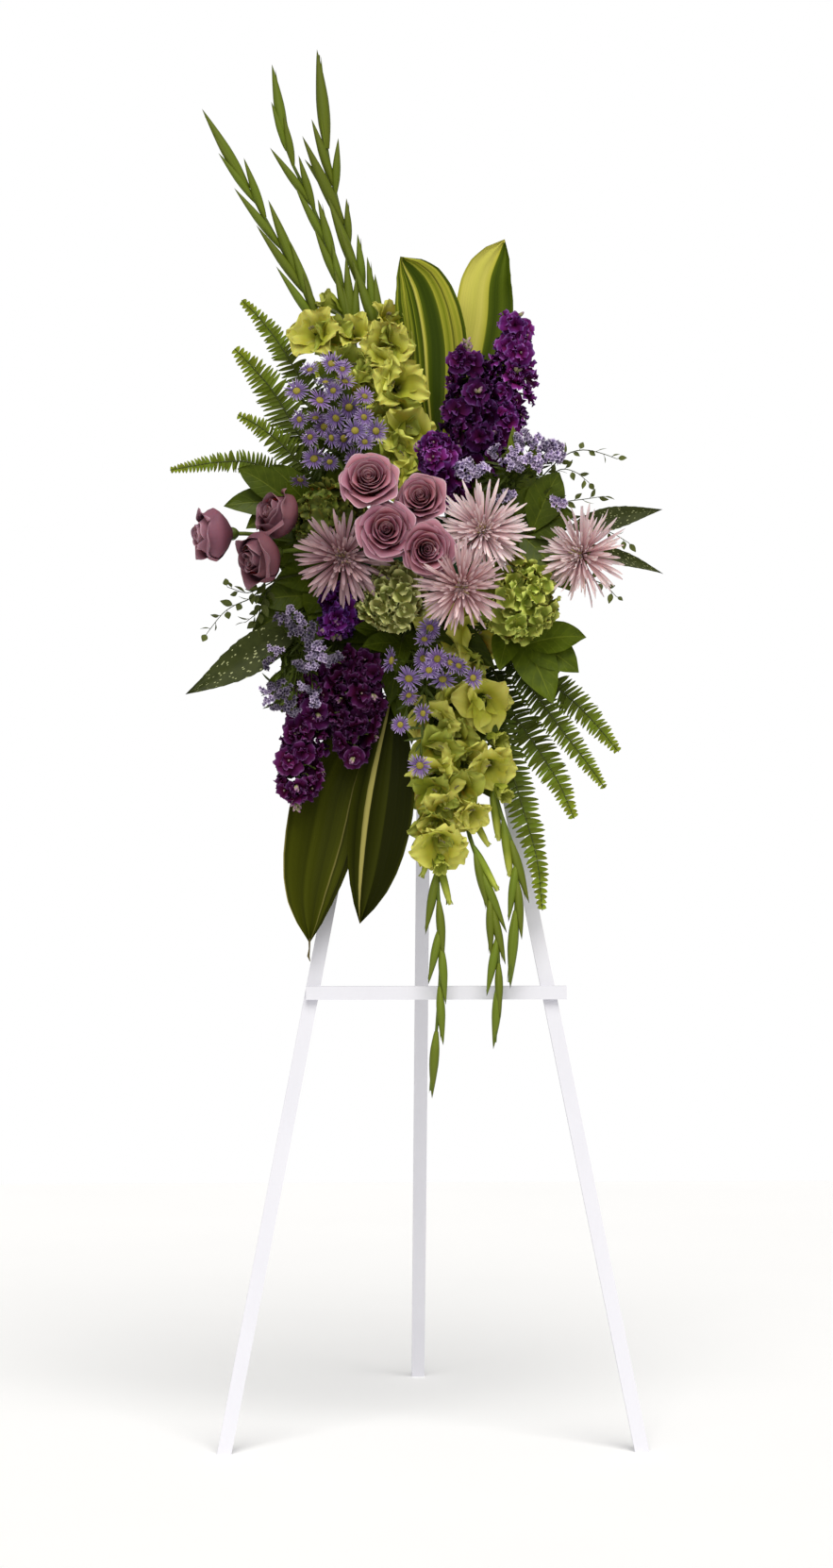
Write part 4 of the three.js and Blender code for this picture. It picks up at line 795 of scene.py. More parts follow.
def hydrangea(piece, at, facing, radius):
    axes = Axes(facing)
    middle = vec(*at) - 0.7 * radius * axes.d
    rng = piece.rng
    base = middle - 0.35 * radius * axes.d
    colour = HYDRANGEA_LOOKS[piece.name]
    heart = (middle - 0.5 * radius * axes.d, axes.d, 1.08 * radius, 0.62 * radius, [0.5, 0.86, 1, 0.86, 0.5])
    piece.pod(colour, *heart, along=(0.4, 0.6))
    for i in range(HYDRANGEA_FLORETS):
        polar = math.acos(1 - 1.4 * (i + 0.5) / HYDRANGEA_FLORETS)
        out = turned(axes.d, axes.out(i * GOLDEN_ANGLE), polar)
        place = middle + out * radius * (0.72 + 0.30 * rng.random())
        piece.rod(GREEN_STEM, [middle, middle + out * radius * 0.4, place], [0.9, 0.8, 0.7], 4)
        floret = Axes(unit(out + 0.3 * rng.standard_normal(3)))
        turn = 3 * rng.random()
        size = radius * (0.30 + 0.12 * rng.random())
        lean = 0.1 + 0.55 * rng.random()
        tint = rng.random()
        for k in range(4):
            sheet = petal(
                place, turned(floret.out(turn + k * math.pi / 2), floret.d, lean), floret.d,
                size * (0.85 + 0.3 * rng.random()), 0.60 * size, [0.22, 0.80, 1.08, 1.02, 0.5],
                [0, 0.35 * rng.random(), -0.7 + 1.1 * rng.random()], rows=5, cup=0.55 * rng.random(),
                ruffle=0.12 * size, waves=1.8, phase=6 * rng.random(), tip=0.12 * size,
            )
            piece.add(sheet, colour, tint=0.6 * tint + 0.4 * rng.random())
        piece.pod(colour, place, floret.d, 2.4, 1.3, [0.6, 1, 0.6], 2, 5)
    piece.rod(GREEN_STEM, bloom_line(base, axes.d), HYDRANGEA_STEM)


# Gladioli

TEPALS = 6
ANTHERS = 3
# How far each kind of bloom has unfolded, where 1 is a full bloom. Small ones are young.
YOUNG, SHADED, UNFOLDING = 0.72, 0.9, 0.3
YOUNG_RADIUS = 36
TEPAL_OUTLINE = [0.12, 0.24, 0.46, 0.78, 1.0, 1.06, 0.94, 0.48]
BRACT_OUTLINE = [0.55, 0.95, 1.0, 0.80, 0.48, 0.06]
BRACT_CUP = [1.5] * 5 + [1.4, 1.3, 1.2, 1.1]
POINTED_BUD = [0.42, 0.72, 0.92, 1.0, 0.94, 0.78, 0.56, 0.32, 0.03]
SHOWING_BUD = [0.42, 0.74, 0.94, 1.0, 0.98, 0.92, 0.84, 0.72, 0.38]


def gladiolus_bloom(piece, foot, direction, radius, unfolded=1.0, colour=GLADIOLUS):
    """Six broad ruffled tepals from a funnel. Unfolded is 1 for a full bloom and less for a younger one."""
    axes = Axes(direction)
    rng = piece.rng
    tint = rng.random()
    coloured = unfolded > UNFOLDING
    first = math.pi / 2 + 0.5 * rng.standard_normal()
    for k in range(TEPALS):
        out = axes.out(first + 2 * math.pi * k / TEPALS + 0.16 * rng.standard_normal())
        inner = k % 2
        spread = 0.02 + 0.24 * unfolded
        inward = axes.d * math.sin(spread) - out * math.cos(spread)
        flare = (0.55 + 0.65 * rng.random()) * (1.0 if k else 0.55) * (0.8 if inner else 1.05) * unfolded
        width = (0.50 if inner else 0.62) * (0.66 + 0.34 * unfolded)
        tepal = petal(
            foot + 2 * out, turned(axes.d, out, spread), inward, radius * (1.26 + 0.18 * rng.random()),
            radius * width * (0.9 + 0.2 * rng.random()), TEPAL_OUTLINE,
            [0, -0.05, -0.22 * flare, -0.62 * flare, -flare, -1.3 * flare, -1.6 * flare],
            rows=16, cols=14, cup=np.linspace(1.3, 1.1 - 0.8 * unfolded, 17), fold=0.06, tip=0.18 * radius,
            ruffle=(0.03 + 0.05 * unfolded) * radius, waves=2.0 + 0.9 * rng.random(), phase=6 * rng.random(),
        )
        piece.add(tepal, colour if coloured else GLADIOLUS_TIP, tint=0.7 * tint + 0.3 * rng.random())
    for k in range(ANTHERS if coloured else 0):
        out = axes.out(first + 0.4 * (k - 1))
        top = foot + axes.d * radius * 0.84 + out * radius * 0.18
        thread = [foot + axes.d * 4, foot + axes.d * radius * 0.6 + out * radius * 0.14, top]
        piece.rod(GLADIOLUS, thread, 0.6, 4)
        piece.pod(ANTHER, top, axes.d + 0.2 * out, 0.20 * radius, 1.3, [0.4, 1, 1, 0.4], 3, 5)
    bract(piece, foot, axes, radius * 0.8, 6.0)


def bract(piece, foot, axes, length, half):
    """A green sheath that wraps the foot of a bud or bloom."""
    for side in (-1, 1):
        out = axes.right * side
        sheath = petal(
            foot + 1.5 * out, axes.d + 0.02 * out, -out, length * (1 if side < 0 else 0.8), half * 1.15,
            BRACT_OUTLINE, [0, -0.02, 0.07], rows=8, cup=BRACT_CUP,
        )
        piece.add(sheath, GLADIOLUS_BUD)


def gladiolus_bud(piece, foot, direction, length, radius, showing):
    """A pointed bud in its two green sheaths. One that shows has rolled lime petals at its mouth."""
    axes = Axes(direction)
    rng = piece.rng
    bend = 0.05 * (rng.random() - 0.5)
    if not showing:
        piece.pod(GLADIOLUS_BUD, foot, axes.d, length, radius, POINTED_BUD, 12, 8, bend, pointed=True)
        bract(piece, foot, axes, length * 0.92, radius * 1.06)
        return
    length *= 0.92
    piece.pod(GLADIOLUS_TIP, foot, axes.d, length, radius, SHOWING_BUD, 12, 8, bend)
    for k in range(4):
        out = axes.out(1.57 * k + rng.random())
        start = foot + axes.d * length * 0.62 + out * radius * 0.72
        flap = petal(
            start, axes.d, -out, length * (0.30 + 0.10 * rng.random()), radius * 0.85,
            [0.9, 1, 0.9, 0.65, 0.25], [0, 0.08, -0.35 * rng.random()], cup=1.3, ruffle=0.9, waves=2,
            phase=6 * rng.random(),
        )
        piece.add(flap, GLADIOLUS_TIP, along=(0.2, 0.75))
    bract(piece, foot, axes, length * 0.78, radius * 1.06)


def gladiolus(piece, path, blooms, tips, tip_length, showing=False, unfolding=(), shaded=()):
    """A spire. Each of tips is the x, z and length of a bud, whose foot is on the stem. The last two buds of
    a showing spire open."""
    line = Line(path)
    steps = np.linspace(0, line.last - 0.1, 26)
    points = line.at(steps)
    piece.rod(GREEN_STEM, points, np.linspace(*GLADIOLUS_STEM, len(steps)))
    heights = points[:, 2]
    towards_tip = math.copysign(1, heights[-1] - heights[0])
    end = line.at(line.last)
    for i, (x, z, length) in enumerate([(end[0], end[2], tip_length), *tips]):
        level = z - towards_tip * length
        foot = line.at(np.interp(level * towards_tip, heights * towards_tip, steps))
        along = vec(x - foot[0], -8 if i else -2, z - foot[2])
        opens = showing and i > len(tips) - 2
        gladiolus_bud(piece, foot, along, np.linalg.norm(along), 0.053 * length + 2.0, opens)
    for station, direction, radius in blooms:
        gladiolus_bloom(piece, line.at(station), direction, radius, YOUNG if radius < YOUNG_RADIUS else 1.0)
    for station, direction, radius in shaded:
        gladiolus_bloom(piece, line.at(station), direction, radius, SHADED, SHADED_GLADIOLUS)
    for station, direction, radius in unfolding:
        gladiolus_bloom(piece, line.at(station), direction, radius, UNFOLDING)


# Stocks

STOCK_PETALS = 10
EYED_STOCKS = 0.6
STOCK_BUD_PROFILE = [0.4, 0.9, 1, 0.8, 0.3]


def stock_floret(piece, place, direction, size):
    """A double, ruffled floret. Some show the pale eye between their petals."""
    axes = Axes(direction)
    rng = piece.rng
    tint = rng.random()
    colour = STOCK_LOOKS.get(piece.name, STOCK)
    for k in range(STOCK_PETALS):
        outer = k < STOCK_PETALS / 2
        side = axes.out(2 * math.pi * k / 5 + (0.6 if outer else 1.2) * rng.random())
        lean = (0.05 if outer else 0.75) + 0.5 * rng.random()
        length = size * ((1.0 if outer else 0.70) + 0.25 * rng.random())
        sheet = petal(
            place, turned(side, axes.d, lean), axes.d, length, 0.52 * length, [0.22, 0.6, 0.95, 1.08, 0.8],
            [0, -0.3, -1.1 * rng.random()], rows=5, cup=0.6 * (rng.random() - 0.3), ruffle=0.17 * size,
            waves=1.6, phase=6 * rng.random(), tip=0.1 * size,
        )
        piece.add(sheet, colour, tint=0.5 * tint + 0.5 * rng.random())
    if tint > EYED_STOCKS:
        piece.pod(STOCK_BUD, place + axes.d * size * 0.3, axes.d, 3.4, 1.8, [0.6, 1, 0.8, 0.2], 3, 6)


def stock(piece, path, radius, start, florets, buds, crown=0.94):
    """Florets up to the crown, as a share of the flowering length, and buds on the tip above it."""
    line = Line(path)
    rng = piece.rng
    flowering = line.last - start
    piece.rod(GREEN_STEM, line.steps(20), np.linspace(*STOCK_STEM, 20))
    for i in range(florets):
        share = (i + 0.5) / florets
        place = line.at(start + flowering * (0.01 + crown * share))
        along = line.along(start + flowering * share)
        taper = 1 - 0.42 * max(0, (share - 0.6) / 0.4)
        out = Axes(along).out(i * GOLDEN_ANGLE + 0.3 * rng.standard_normal())
        reach = radius * taper * (0.36 + 0.50 * rng.random())
        at = place + out * reach + along * 6 * rng.standard_normal()
        piece.rod(GREEN_STEM, [place, place + out * reach * 0.5 - along * 2, at], [1.1, 1.0, 1.6], 4)
        facing = unit(out + 0.3 * along + 0.45 * rng.standard_normal(3))
        stock_floret(piece, at, facing, (14.5 + 6.0 * rng.random()) * (0.75 + 0.25 * taper))
        for _ in range(3 if i % 6 == 4 else 0):
            direction = unit(out + along + 0.5 * rng.standard_normal(3))
            piece.pod(STOCK_BUD, at + out * 5, direction, 12, 2.7, STOCK_BUD_PROFILE, 5)
    for i in range(buds):
        share = crown - 0.04 + (1.04 - crown) * i / buds
        along = line.along(start + flowering * min(share, 0.97))
        direction = unit(Axes(along).out(i * GOLDEN_ANGLE) * (1.25 - share) * 3 + along)
        foot = line.at(start + flowering * share)
        size = 16 - 6 * i / buds
        piece.pod(STOCK_BUD, foot, direction, size, size * 0.27, STOCK_BUD_PROFILE, 5)


# Sprays of small heads

ASTER_RAYS = 34
STATICE_CUPS = 19
# The share of statice heads that take the darker, painted-shade look.
DIM_STATICE = 0.4
# A statice cup's rings: how far along it, and how wide.
STATICE_CUP = [(0, 0.07), (0.5, 0.13), (0.85, 0.24), (1.0, 0.38)]


def aster_head(piece, centre, facing, radius):
    axes = Axes(facing)
    rng = piece.rng
    tint = rng.random()
    for k in range(ASTER_RAYS):
        side = axes.out(2 * math.pi * (k + 0.8 * rng.random()) / ASTER_RAYS)
        lean = 0.02 + 0.5 * rng.random() + (0.16 if k % 2 else 0)
        ray = petal(
            centre + side * radius * 0.22, turned(side, axes.d, lean), axes.d,
            radius * (0.55 + 0.38 * rng.random()), radius * 0.050, [0.5, 1.0, 1.0, 0.5],
            [0, -0.1, -0.6 * rng.random()], rows=3, cols=2, cup=0.6,
        )
        piece.add(ray, ASTER, tint=0.6 * tint + 0.4 * rng.random())
    disc = (centre - axes.d, axes.d, radius * 0.26, radius * 0.32, [0.9, 1.0, 0.8, 0.3], 4, 12)
    piece.pod(ASTER_DISC, *disc, pointed=True)
    foot = centre - axes.d * radius * 0.46
    piece.pod(SEPAL, foot, axes.d, radius * 0.42, radius * 0.26, [0.3, 0.8, 1.0], 3)


def statice_head(piece, centre, facing, radius):
    """A comb of small papery cups on a winged stalk."""
    axes = Axes(facing)
    rng = piece.rng
    sweep = axes.out(2 * math.pi * rng.random())
    colour = STATICE_LOOKS[piece.name][rng.random() < DIM_STATICE]
    angles = np.arange(10) * 2 * math.pi / 10
    for i in range(STATICE_CUPS):
        share = 2 * (i + 0.5) / STATICE_CUPS - 1
        arch = axes.d * (0.55 - 0.5 * share**2) + sweep * share * 0.72
        place = centre + radius * (arch + 0.24 * rng.standard_normal(3)) - axes.d * radius * 0.35
        cup = Axes(unit(arch + 0.5 * axes.d + 0.4 * rng.standard_normal(3)))
        length = radius * (0.42 + 0.2 * rng.random())
        rings = []
        for t, width in STATICE_CUP:
            ring = radius * width * (1 + (0.26 if t == 1.0 else 0.0) * np.cos(5 * angles))
            rings.append(place + cup.d * length * t + ring[:, None] * circle(cup.right, cup.up, angles))
        piece.add(np.array(rings), colour, closed=True)
    foot = centre - axes.d * radius * 0.9
    piece.pod(GREEN_STEM, foot, axes.d, radius * 0.7, radius * 0.16, [0.4, 0.8, 1.0], 3, 6)


def spray(piece, stem, fork, heads, head, radius, needles):
    start, fork_point = vec(*stem), vec(*fork)
    rng = piece.rng
    line = bloom_line(start, unit(fork_point - start))
    piece.rod(GREEN_STEM, np.vstack([line, fork_point]), SPRAY_STEM)
    for place in heads:
        centre = vec(*place)
        foot = start + (fork_point - start) * (0.3 + 0.65 * rng.random())
        from_fork = centre - fork_point
        facing = unit(vec(from_fork[0] * 0.006, -1, from_fork[2] * 0.006 + 0.1))
        facing = unit(facing + 0.36 * rng.standard_normal(3))
        bend = (foot + centre) / 2 + vec(0, 8, 0) - facing * 6
        stalk = Line([foot, bend, centre - facing * radius * 0.4])
        piece.rod(GREEN_STEM, stalk.steps(7), HEAD_STALK, 5)
        for k in range(needles):
            station = 0.4 + 1.5 * (k + rng.random()) / needles
            side = unit(rng.standard_normal(3) + vec(0, -0.3, 0))
            needle = petal(
                stalk.at(station), side + stalk.along(station), facing, 17 + 12 * rng.random(), 2.3,
                [0.5, 1, 0.8, 0.1], [0, -0.3], 4, cols=2,
            )
            piece.add(needle, SEPAL)
        head(piece, centre, facing, radius * (0.80 + 0.34 * rng.random()))


def aster_spray(piece, **values):
    spray(piece, head=aster_head, radius=17.5, needles=13, **values)


def statice_spray(piece, radius=11.0, **values):
    spray(piece, head=statice_head, radius=radius, needles=7, **values)


# Leaves

LEAF_OUTLINE = (0.12, 0.62, 0.95, 1, 0.88, 0.55, 0.0)
SPOTTED_OUTLINE = (0.12, 0.62, 0.90, 1.0, 0.96, 0.80, 0.54, 0.26, 0.0)
STRAP_OUTLINE = (0.10, 0.28, 0.50, 0.70, 0.86, 0.96, 1.0, 0.97, 0.90, 0.78, 0.60, 0.34, 0.0)
ROUND_OUTLINE = (0.10, 0.28, 0.50, 0.70, 0.86, 0.96, 1.0, 0.99, 0.95, 0.87, 0.72, 0.45, 0.0)
FERN_OUTLINE = [0.95, 1.0, 0.92, 0.80, 0.60, 0.22]
TWIG_LEAF_OUTLINE = [0.3, 0.85, 1, 0.85, 0.5, 0.1]
TWIG_LEAF_SPACING = 14
SPOTTED_TEETH = 11
STRAP_COLUMNS = 24


def leaf(piece, foot, tip, half, material, outline=LEAF_OUTLINE, sag=0.06, teeth=0):
    t = np.linspace(0, 1, 41 if teeth else 15)
    foot, tip = vec(*foot), vec(*tip)
    length = np.linalg.norm(tip - foot)
    mid = foot + np.outer(t, tip - foot) + np.outer(sag * length * 4 * t * (1 - t), vec(0, 0, 1))
    widths = half * stations(outline, t)
    if teeth:
        widths = widths * (0.94 + 0.06 * ((t * teeth) % 1))
    phase = 6 * piece.rng.random()
    sheet = ribbon(mid, widths, vec(0, -1, 0.2), 8, fold=0.2, ruffle=0.05 * half, waves=2, phase=phase)
    piece.add(sheet, material, pointed=True)


def leafy_stem(piece, stems, material=SALAL):
    """Each leaf: its station on the stem, tip, half width and, where it has one of its own, material."""
    for path, leaves in stems:
        line = Line(path)
        piece.rod(DARK_STEM, line.steps(9), LEAF_STEM)
        for station, tip, half, *own in leaves:
            leaf(piece, line.at(station), tip, half * 1.08, own[0] if own else material)


def spotted_stem(piece, stems):
    for path, tip, half, sag in stems:
        line = Line(path)
        piece.rod(DARK_STEM, line.steps(9), LEAF_STEM)
        leaf(piece, line.at(line.last), tip, half, SPOTTED, SPOTTED_OUTLINE, sag, SPOTTED_TEETH)


def strap_leaf(piece, path, start, half, outline=STRAP_OUTLINE, dry_tip=0):
    """A long pleated leaf. Its path is a bare stem up to the station start, and its midrib from there."""
    line = Line(path)
    piece.rod(GREEN_STEM, line.at(np.linspace(0, start, 8)), STRAP_STEM)
    t = np.linspace(0, 1, 49)
    mid = line.at(start + (line.last - start) * t)
    sheet = ribbon(
        mid, half * stations(outline, t), vec(0, -1, 0), cols=STRAP_COLUMNS, fold=0.14, cup=0.25, ruffle=2.4,
        waves=3, phase=3 * piece.rng.random(),
    )
    pleats = 0.6 * np.cos(np.linspace(-1, 1, STRAP_COLUMNS + 1) * math.pi * 9)
    sheet[:-1, :, 1] += pleats[None, :] * np.sin(math.pi * t[:-1, None])
    if mid[-1][2] < mid[0][2]:
        sheet = sheet[:, ::-1]
    piece.add(sheet, STRAP_LOOKS[piece.name], pointed=True)
    if dry_tip:
        down, end = vec(0, 0, -dry_tip), mid[-1]
        curl = [mid[-2], end + 0.3 * down, end + 0.7 * down + vec(-1.5, 0, 0), end + down + vec(1, 0, 0)]
        piece.rod(DRY_LEAF, curl, [1.7, 1.1, 1.9, 0.5], 6)


def fern(piece, path, start, half, pairs):
    line = Line(path)
    rng = piece.rng
    piece.rod(DARK_STEM, line.steps(30), np.linspace(*FERN_RIB, 30), 6)
    facing = vec(0, -1, 0.1)
    spots, length = line.even(start, pairs)
    for i, station in enumerate(spots):
        share = (i + 0.3) / pairs
        at, along = line.at(station), line.along(station)
        across = unit(np.cross(along, facing))
        reach = 1.02 * half * min(1, 0.72 + share * 1.2) * (1 - share**2.3 * 0.82)
        for side in (-1, 1):
            wobble = 0.08 * rng.standard_normal()
            direction = unit(side * across + (0.26 + wobble) * along)
            up = unit(np.cross(direction, side * along) + 0.22 * rng.standard_normal(3))
            up = up if np.dot(up, facing) > 0 else -up
            leaflet = petal(
                at, direction, up, reach * (0.92 + 0.16 * rng.random()),
                length / pairs * (0.50 + 0.06 * share), FERN_OUTLINE, [0.18, -0.1, -0.5], cols=4, cup=0.5,
                tip=1.0, ruffle=0.4, waves=3, phase=6 * rng.random(),
            )
            piece.add(leaflet, FERN, along=(share - 0.12, share + 0.12))


def eucalyptus(piece, stem, twigs, half, length):
    root, first = vec(*stem), vec(*twigs[0][0])
    rng = piece.rng
    piece.rod(DARK_STEM, np.vstack([bloom_line(root, unit(first - root)), first]), TWIG_STEM)
    for twig in twigs:
        line = Line([root + (first - root) * 0.6, *twig])
        piece.rod(DARK_STEM, line.steps(16), np.linspace(*TWIG, 16), 5)
        leaves = round(line.even(1, 2)[1] / TWIG_LEAF_SPACING) + 2
        spots, _ = line.even(0.8, leaves)
        for i, station in enumerate([*spots, line.last]):
            at, along = line.at(station), line.along(min(station, line.last - 0.1))
            side = unit(np.cross(along, vec(0, -1, 0.2)))
            lean = 0 if i == leaves else (1 if i % 2 else -1) * (0.7 + 0.6 * rng.random())
            direction = unit(along + side * lean + 0.25 * rng.standard_normal(3))
            stalk = at + direction * 3
            piece.rod(DARK_STEM, [at, stalk], 0.45, 4)
            size = length * (0.55 + 0.45 * rng.random()) * (1 - 0.25 * i / leaves)
            face = unit(vec(0, -1, 0.3) + 1.1 * rng.standard_normal(3))
            blade = petal(
                stalk, direction, face, size, half, TWIG_LEAF_OUTLINE, [0, -0.25], rows=8, cols=4, cup=0.35)
            piece.add(blade, EUCALYPTUS)


# The arrangement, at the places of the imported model

ROSES = {
    "rose_top": dict(at=(-92, -15, 1380), facing=(-0.1, -0.87, 0.42), radius=38),
    "rose_upper_right": dict(at=(-19, -5, 1354), facing=(-0.12, -0.93, 0.3), radius=33),
    "rose_centre": dict(at=(-67, -30, 1305), facing=(-0.05, -0.98, 0.12), radius=37),
    "rose_lower_right": dict(at=(-10, -35, 1277), facing=(0.08, -0.98, 0.0), radius=35),
    "rose_far_left": dict(at=(-314, 58, 1302), facing=(-0.95, -0.28, -0.06), radius=38.5, mouth=0.68),
    "rose_left_upper": dict(at=(-219, 46, 1328), facing=(-0.76, -0.50, 0.40), radius=36, mouth=0.80),
    "rose_left_lower": dict(at=(-245, 28, 1268), facing=(-0.80, -0.54, -0.26), radius=37.5, mouth=0.80),
}
MUMS = {
    "mum_left": dict(at=(-128, -2, 1267), facing=(0.04, -0.99, -0.05), radius=67, broad=1.12),
    "mum_upper_right": dict(at=(71, -2, 1308), facing=(0.08, -0.97, 0.14), radius=68),
    "mum_lower": dict(at=(38, -40, 1222), facing=(-0.04, -0.98, -0.16), radius=62),
    "mum_right": dict(at=(203, 18, 1273), facing=(-0.68, -0.73, 0.04), radius=66),
}
HYDRANGEAS = {
    "hydrangea_left": dict(at=(-152, 48, 1334), facing=(-0.3, -0.9, 0.3), radius=46),
    "hydrangea_centre": dict(at=(-55, 22, 1207), facing=(0.05, -0.97, -0.2), radius=43),
    "hydrangea_right": dict(at=(128, 22, 1203), facing=(0.25, -0.92, -0.2), radius=50),
}
GLADIOLI = {
    "gladiolus_up_left": dict(
        path=[
            (-46, 160, 1306), (-60, 166, 1352), (-96, 175, 1428), (-138, 180, 1539),
            (-171, 190, 1644), (-222, 195, 1741), (-273, 200, 1832), (-331, 200, 1931),
        ],
        tips=[
            (-315, 1894, 75), (-307, 1866, 70), (-270, 1859, 86), (-284, 1815, 86), (-234, 1798, 116),
            (-252, 1760, 98), (-202, 1737, 104), (-223, 1700, 90), (-184, 1690, 84),
        ],
        tip_length=116,
        unfolding=[(3.0, (-0.5, -0.7, 0.2), 28)],
        blooms=[(3.48, (-0.42, -0.85, 0.3), 40)],
        shaded=[
            (3.46, (0.42, -0.86, 0.2), 36), (3.1, (0.5, -0.8, 0.1), 38), (2.7, (0.15, -0.95, -0.1), 38),
            (2.3, (0.3, -0.9, 0.0), 38),
        ],
    ),
    "gladiolus_up_middle": dict(
        path=[
            (-31, 166, 1306), (-42, 172, 1352), (-66, 180, 1430), (-89, 186, 1512), (-119, 196, 1630),
            (-143, 205, 1722), (-172, 210, 1798), (-210, 215, 1885), (-228, 215, 2000),
        ],
        tips=[
            (-230, 1944, 70), (-211, 1924, 72), (-232, 1876, 82), (-191, 1865, 78), (-195, 1819, 90),
            (-160, 1801, 100), (-167, 1757, 84), (-142, 1736, 84), (-120, 1716, 112), (-140, 1698, 100),
            (-104, 1686, 96), (-126, 1672, 88),
        ],
        tip_length=118,
        unfolding=[(3.95, (-0.75, -0.3, 0.65), 36)],
        blooms=[(3.62, (-0.02, -0.82, 0.55), 35), (3.0, (-0.1, -0.95, 0.1), 37)],
        shaded=[
            (3.3, (-0.35, -0.9, 0.1), 36), (3.2, (0.3, -0.9, 0.0), 36), (2.5, (0.1, -0.95, -0.1), 40),
            (2.1, (-0.1, -0.95, 0.0), 38), (1.7, (0.2, -0.95, 0.0), 38),
        ],
    ),
    "gladiolus_up_right": dict(
        path=[
            (-12, 160, 1306), (-22, 168, 1360), (-41, 182, 1484), (-76, 195, 1610), (-103, 205, 1687),
            (-126, 215, 1771), (-145, 222, 1856), (-156, 225, 1940), (-161, 225, 2024),
        ],
        tips=[
            (-171, 1920, 96), (-133, 1892, 80), (-185, 1894, 128), (-181, 1861, 66), (-148, 1806, 120),
            (-119, 1803, 70), (-132, 1764, 96), (-102, 1750, 84), (-88, 1716, 104), (-112, 1712, 118),
            (-98, 1676, 100), (-80, 1690, 104),
        ],
        tip_length=146,
        blooms=[
            (2.98, (0.55, -0.6, 0.52), 35), (2.68, (0.1, -0.95, 0.15), 40), (2.5, (-0.5, -0.85, 0.05), 38),
            (2.28, (0.10, -0.97, 0.05), 43), (1.78, (0.08, -0.97, 0.0), 43), (1.5, (-0.4, -0.9, 0.05), 43),
            (1.25, (0.22, -0.95, 0.05), 41),
        ],
        shaded=[(2.85, (0.7, -0.65, 0.2), 38), (2.0, (-0.3, -0.9, 0.0), 40), (1.05, (-0.1, -0.95, 0.1), 38)],
    ),
    "gladiolus_down_left": dict(
        path=[
            (-8, 150, 1218), (-4, 134, 1150), (12, 106, 1001), (9, 88, 879), (9, 76, 799),
            (14, 70, 718), (8, 65, 610), (-2, 60, 496),
        ],
        tips=[
            (15, 572, 84), (19, 630, 84), (-5, 659, 84), (18, 691, 88), (-9, 730, 92), (28, 767, 76),
            (-16, 806, 72),
        ],
        tip_length=96, showing=True,
        unfolding=[
            (1.8, (0.5, -0.8, -0.2), 30), (2.8, (-0.3, -0.8, -0.5), 28), (3.3, (0.1, -0.7, -0.7), 28),
        ],
        blooms=[
            (1.45, (-0.1, -0.95, -0.1), 38), (1.75, (-0.15, -0.9, -0.1), 40), (2.3, (-0.3, -0.9, -0.2), 40),
            (2.65, (0.25, -0.9, -0.35), 40), (3.0, (0.05, -0.85, -0.5), 43),
        ],
        shaded=[
            (2.0, (-0.05, -0.95, -0.2), 40), (2.45, (-0.3, -0.9, -0.3), 38), (2.8, (-0.2, -0.85, -0.45), 38),
        ],
    ),
    "gladiolus_down_middle": dict(
        path=[
            (16, 150, 1218), (22, 134, 1150), (38, 108, 1001), (50, 88, 893), (70, 77, 826),
            (91, 70, 751), (96, 65, 670), (90, 60, 566),
        ],
        tips=[
            (96, 611, 78), (79, 642, 84), (105, 687, 80), (84, 697, 84), (108, 732, 88), (82, 759, 88),
            (98, 787, 72), (86, 850, 76),
        ],
        tip_length=96, showing=True,
        unfolding=[(1.9, (-0.5, -0.8, -0.1), 30), (2.5, (-0.5, -0.7, -0.4), 28)],
        blooms=[
            (0.85, (0.0, -0.95, 0.15), 44), (1.6, (0.2, -0.95, -0.05), 40), (2.15, (0.35, -0.9, -0.25), 38),
            (2.75, (0.35, -0.85, -0.4), 33),
        ],
        shaded=[
            (1.35, (-0.1, -0.95, 0), 36), (1.9, (-0.2, -0.95, -0.1), 36), (2.45, (-0.1, -0.9, -0.3), 36),
        ],
    ),
    "gladiolus_down_right": dict(
        path=[
            (38, 148, 1222), (52, 132, 1150), (79, 100, 988), (99, 83, 907), (121, 72, 836),
            (119, 65, 745), (110, 60, 653),
        ],
        tips=[(130, 723, 84), (110, 748, 84), (139, 775, 90), (115, 806, 88), (98, 857, 90)],
        tip_length=112, showing=True,
        unfolding=[(1.8, (0.65, -0.7, -0.2), 30), (2.4, (0.5, -0.7, -0.5), 28)],
        blooms=[
            (0.98, (0.3, -0.95, 0.16), 45), (1.5, (0.3, -0.93, -0.1), 43), (2.05, (0.1, -0.9, -0.45), 36),
        ],
        shaded=[(1.25, (-0.35, -0.93, 0.0), 38)],
    ),
}
STOCKS = {
    "stock_up_right": dict(
        path=[(40, 162, 1308), (70, 156, 1372), (98, 154, 1440), (112, 156, 1530), (130, 156, 1630)],
        start=1.4, radius=37, florets=56, buds=5,
    ),
    "stock_up_left": dict(
        path=[(14, 152, 1308), (38, 138, 1360), (60, 126, 1424), (58, 121, 1500), (52, 118, 1584)],
        start=1.3, radius=41, florets=54, buds=18, crown=0.91,
    ),
    "stock_short": dict(
        path=[(-2, 154, 1296), (8, 108, 1338), (16, 82, 1378), (10, 76, 1412), (-2, 72, 1440)],
        start=1.4, radius=30, florets=30, buds=8,
    ),
    "stock_low_front": dict(
        path=[(-48, 150, 1232), (-84, 112, 1222), (-112, 84, 1212), (-130, 72, 1190), (-140, 66, 1158)],
        start=1.8, radius=26, florets=24, buds=4,
    ),
    "stock_low_middle": dict(
        path=[(-58, 150, 1212), (-80, 118, 1150), (-98, 82, 1110), (-108, 70, 1050), (-112, 62, 984)],
        start=1.7, radius=38, florets=42, buds=6,
    ),
    "stock_low_left": dict(
        path=[(-86, 150, 1216), (-130, 120, 1150), (-168, 92, 1078), (-186, 76, 1000), (-194, 66, 912)],
        start=1.6, radius=34, florets=46, buds=9,
    ),
}
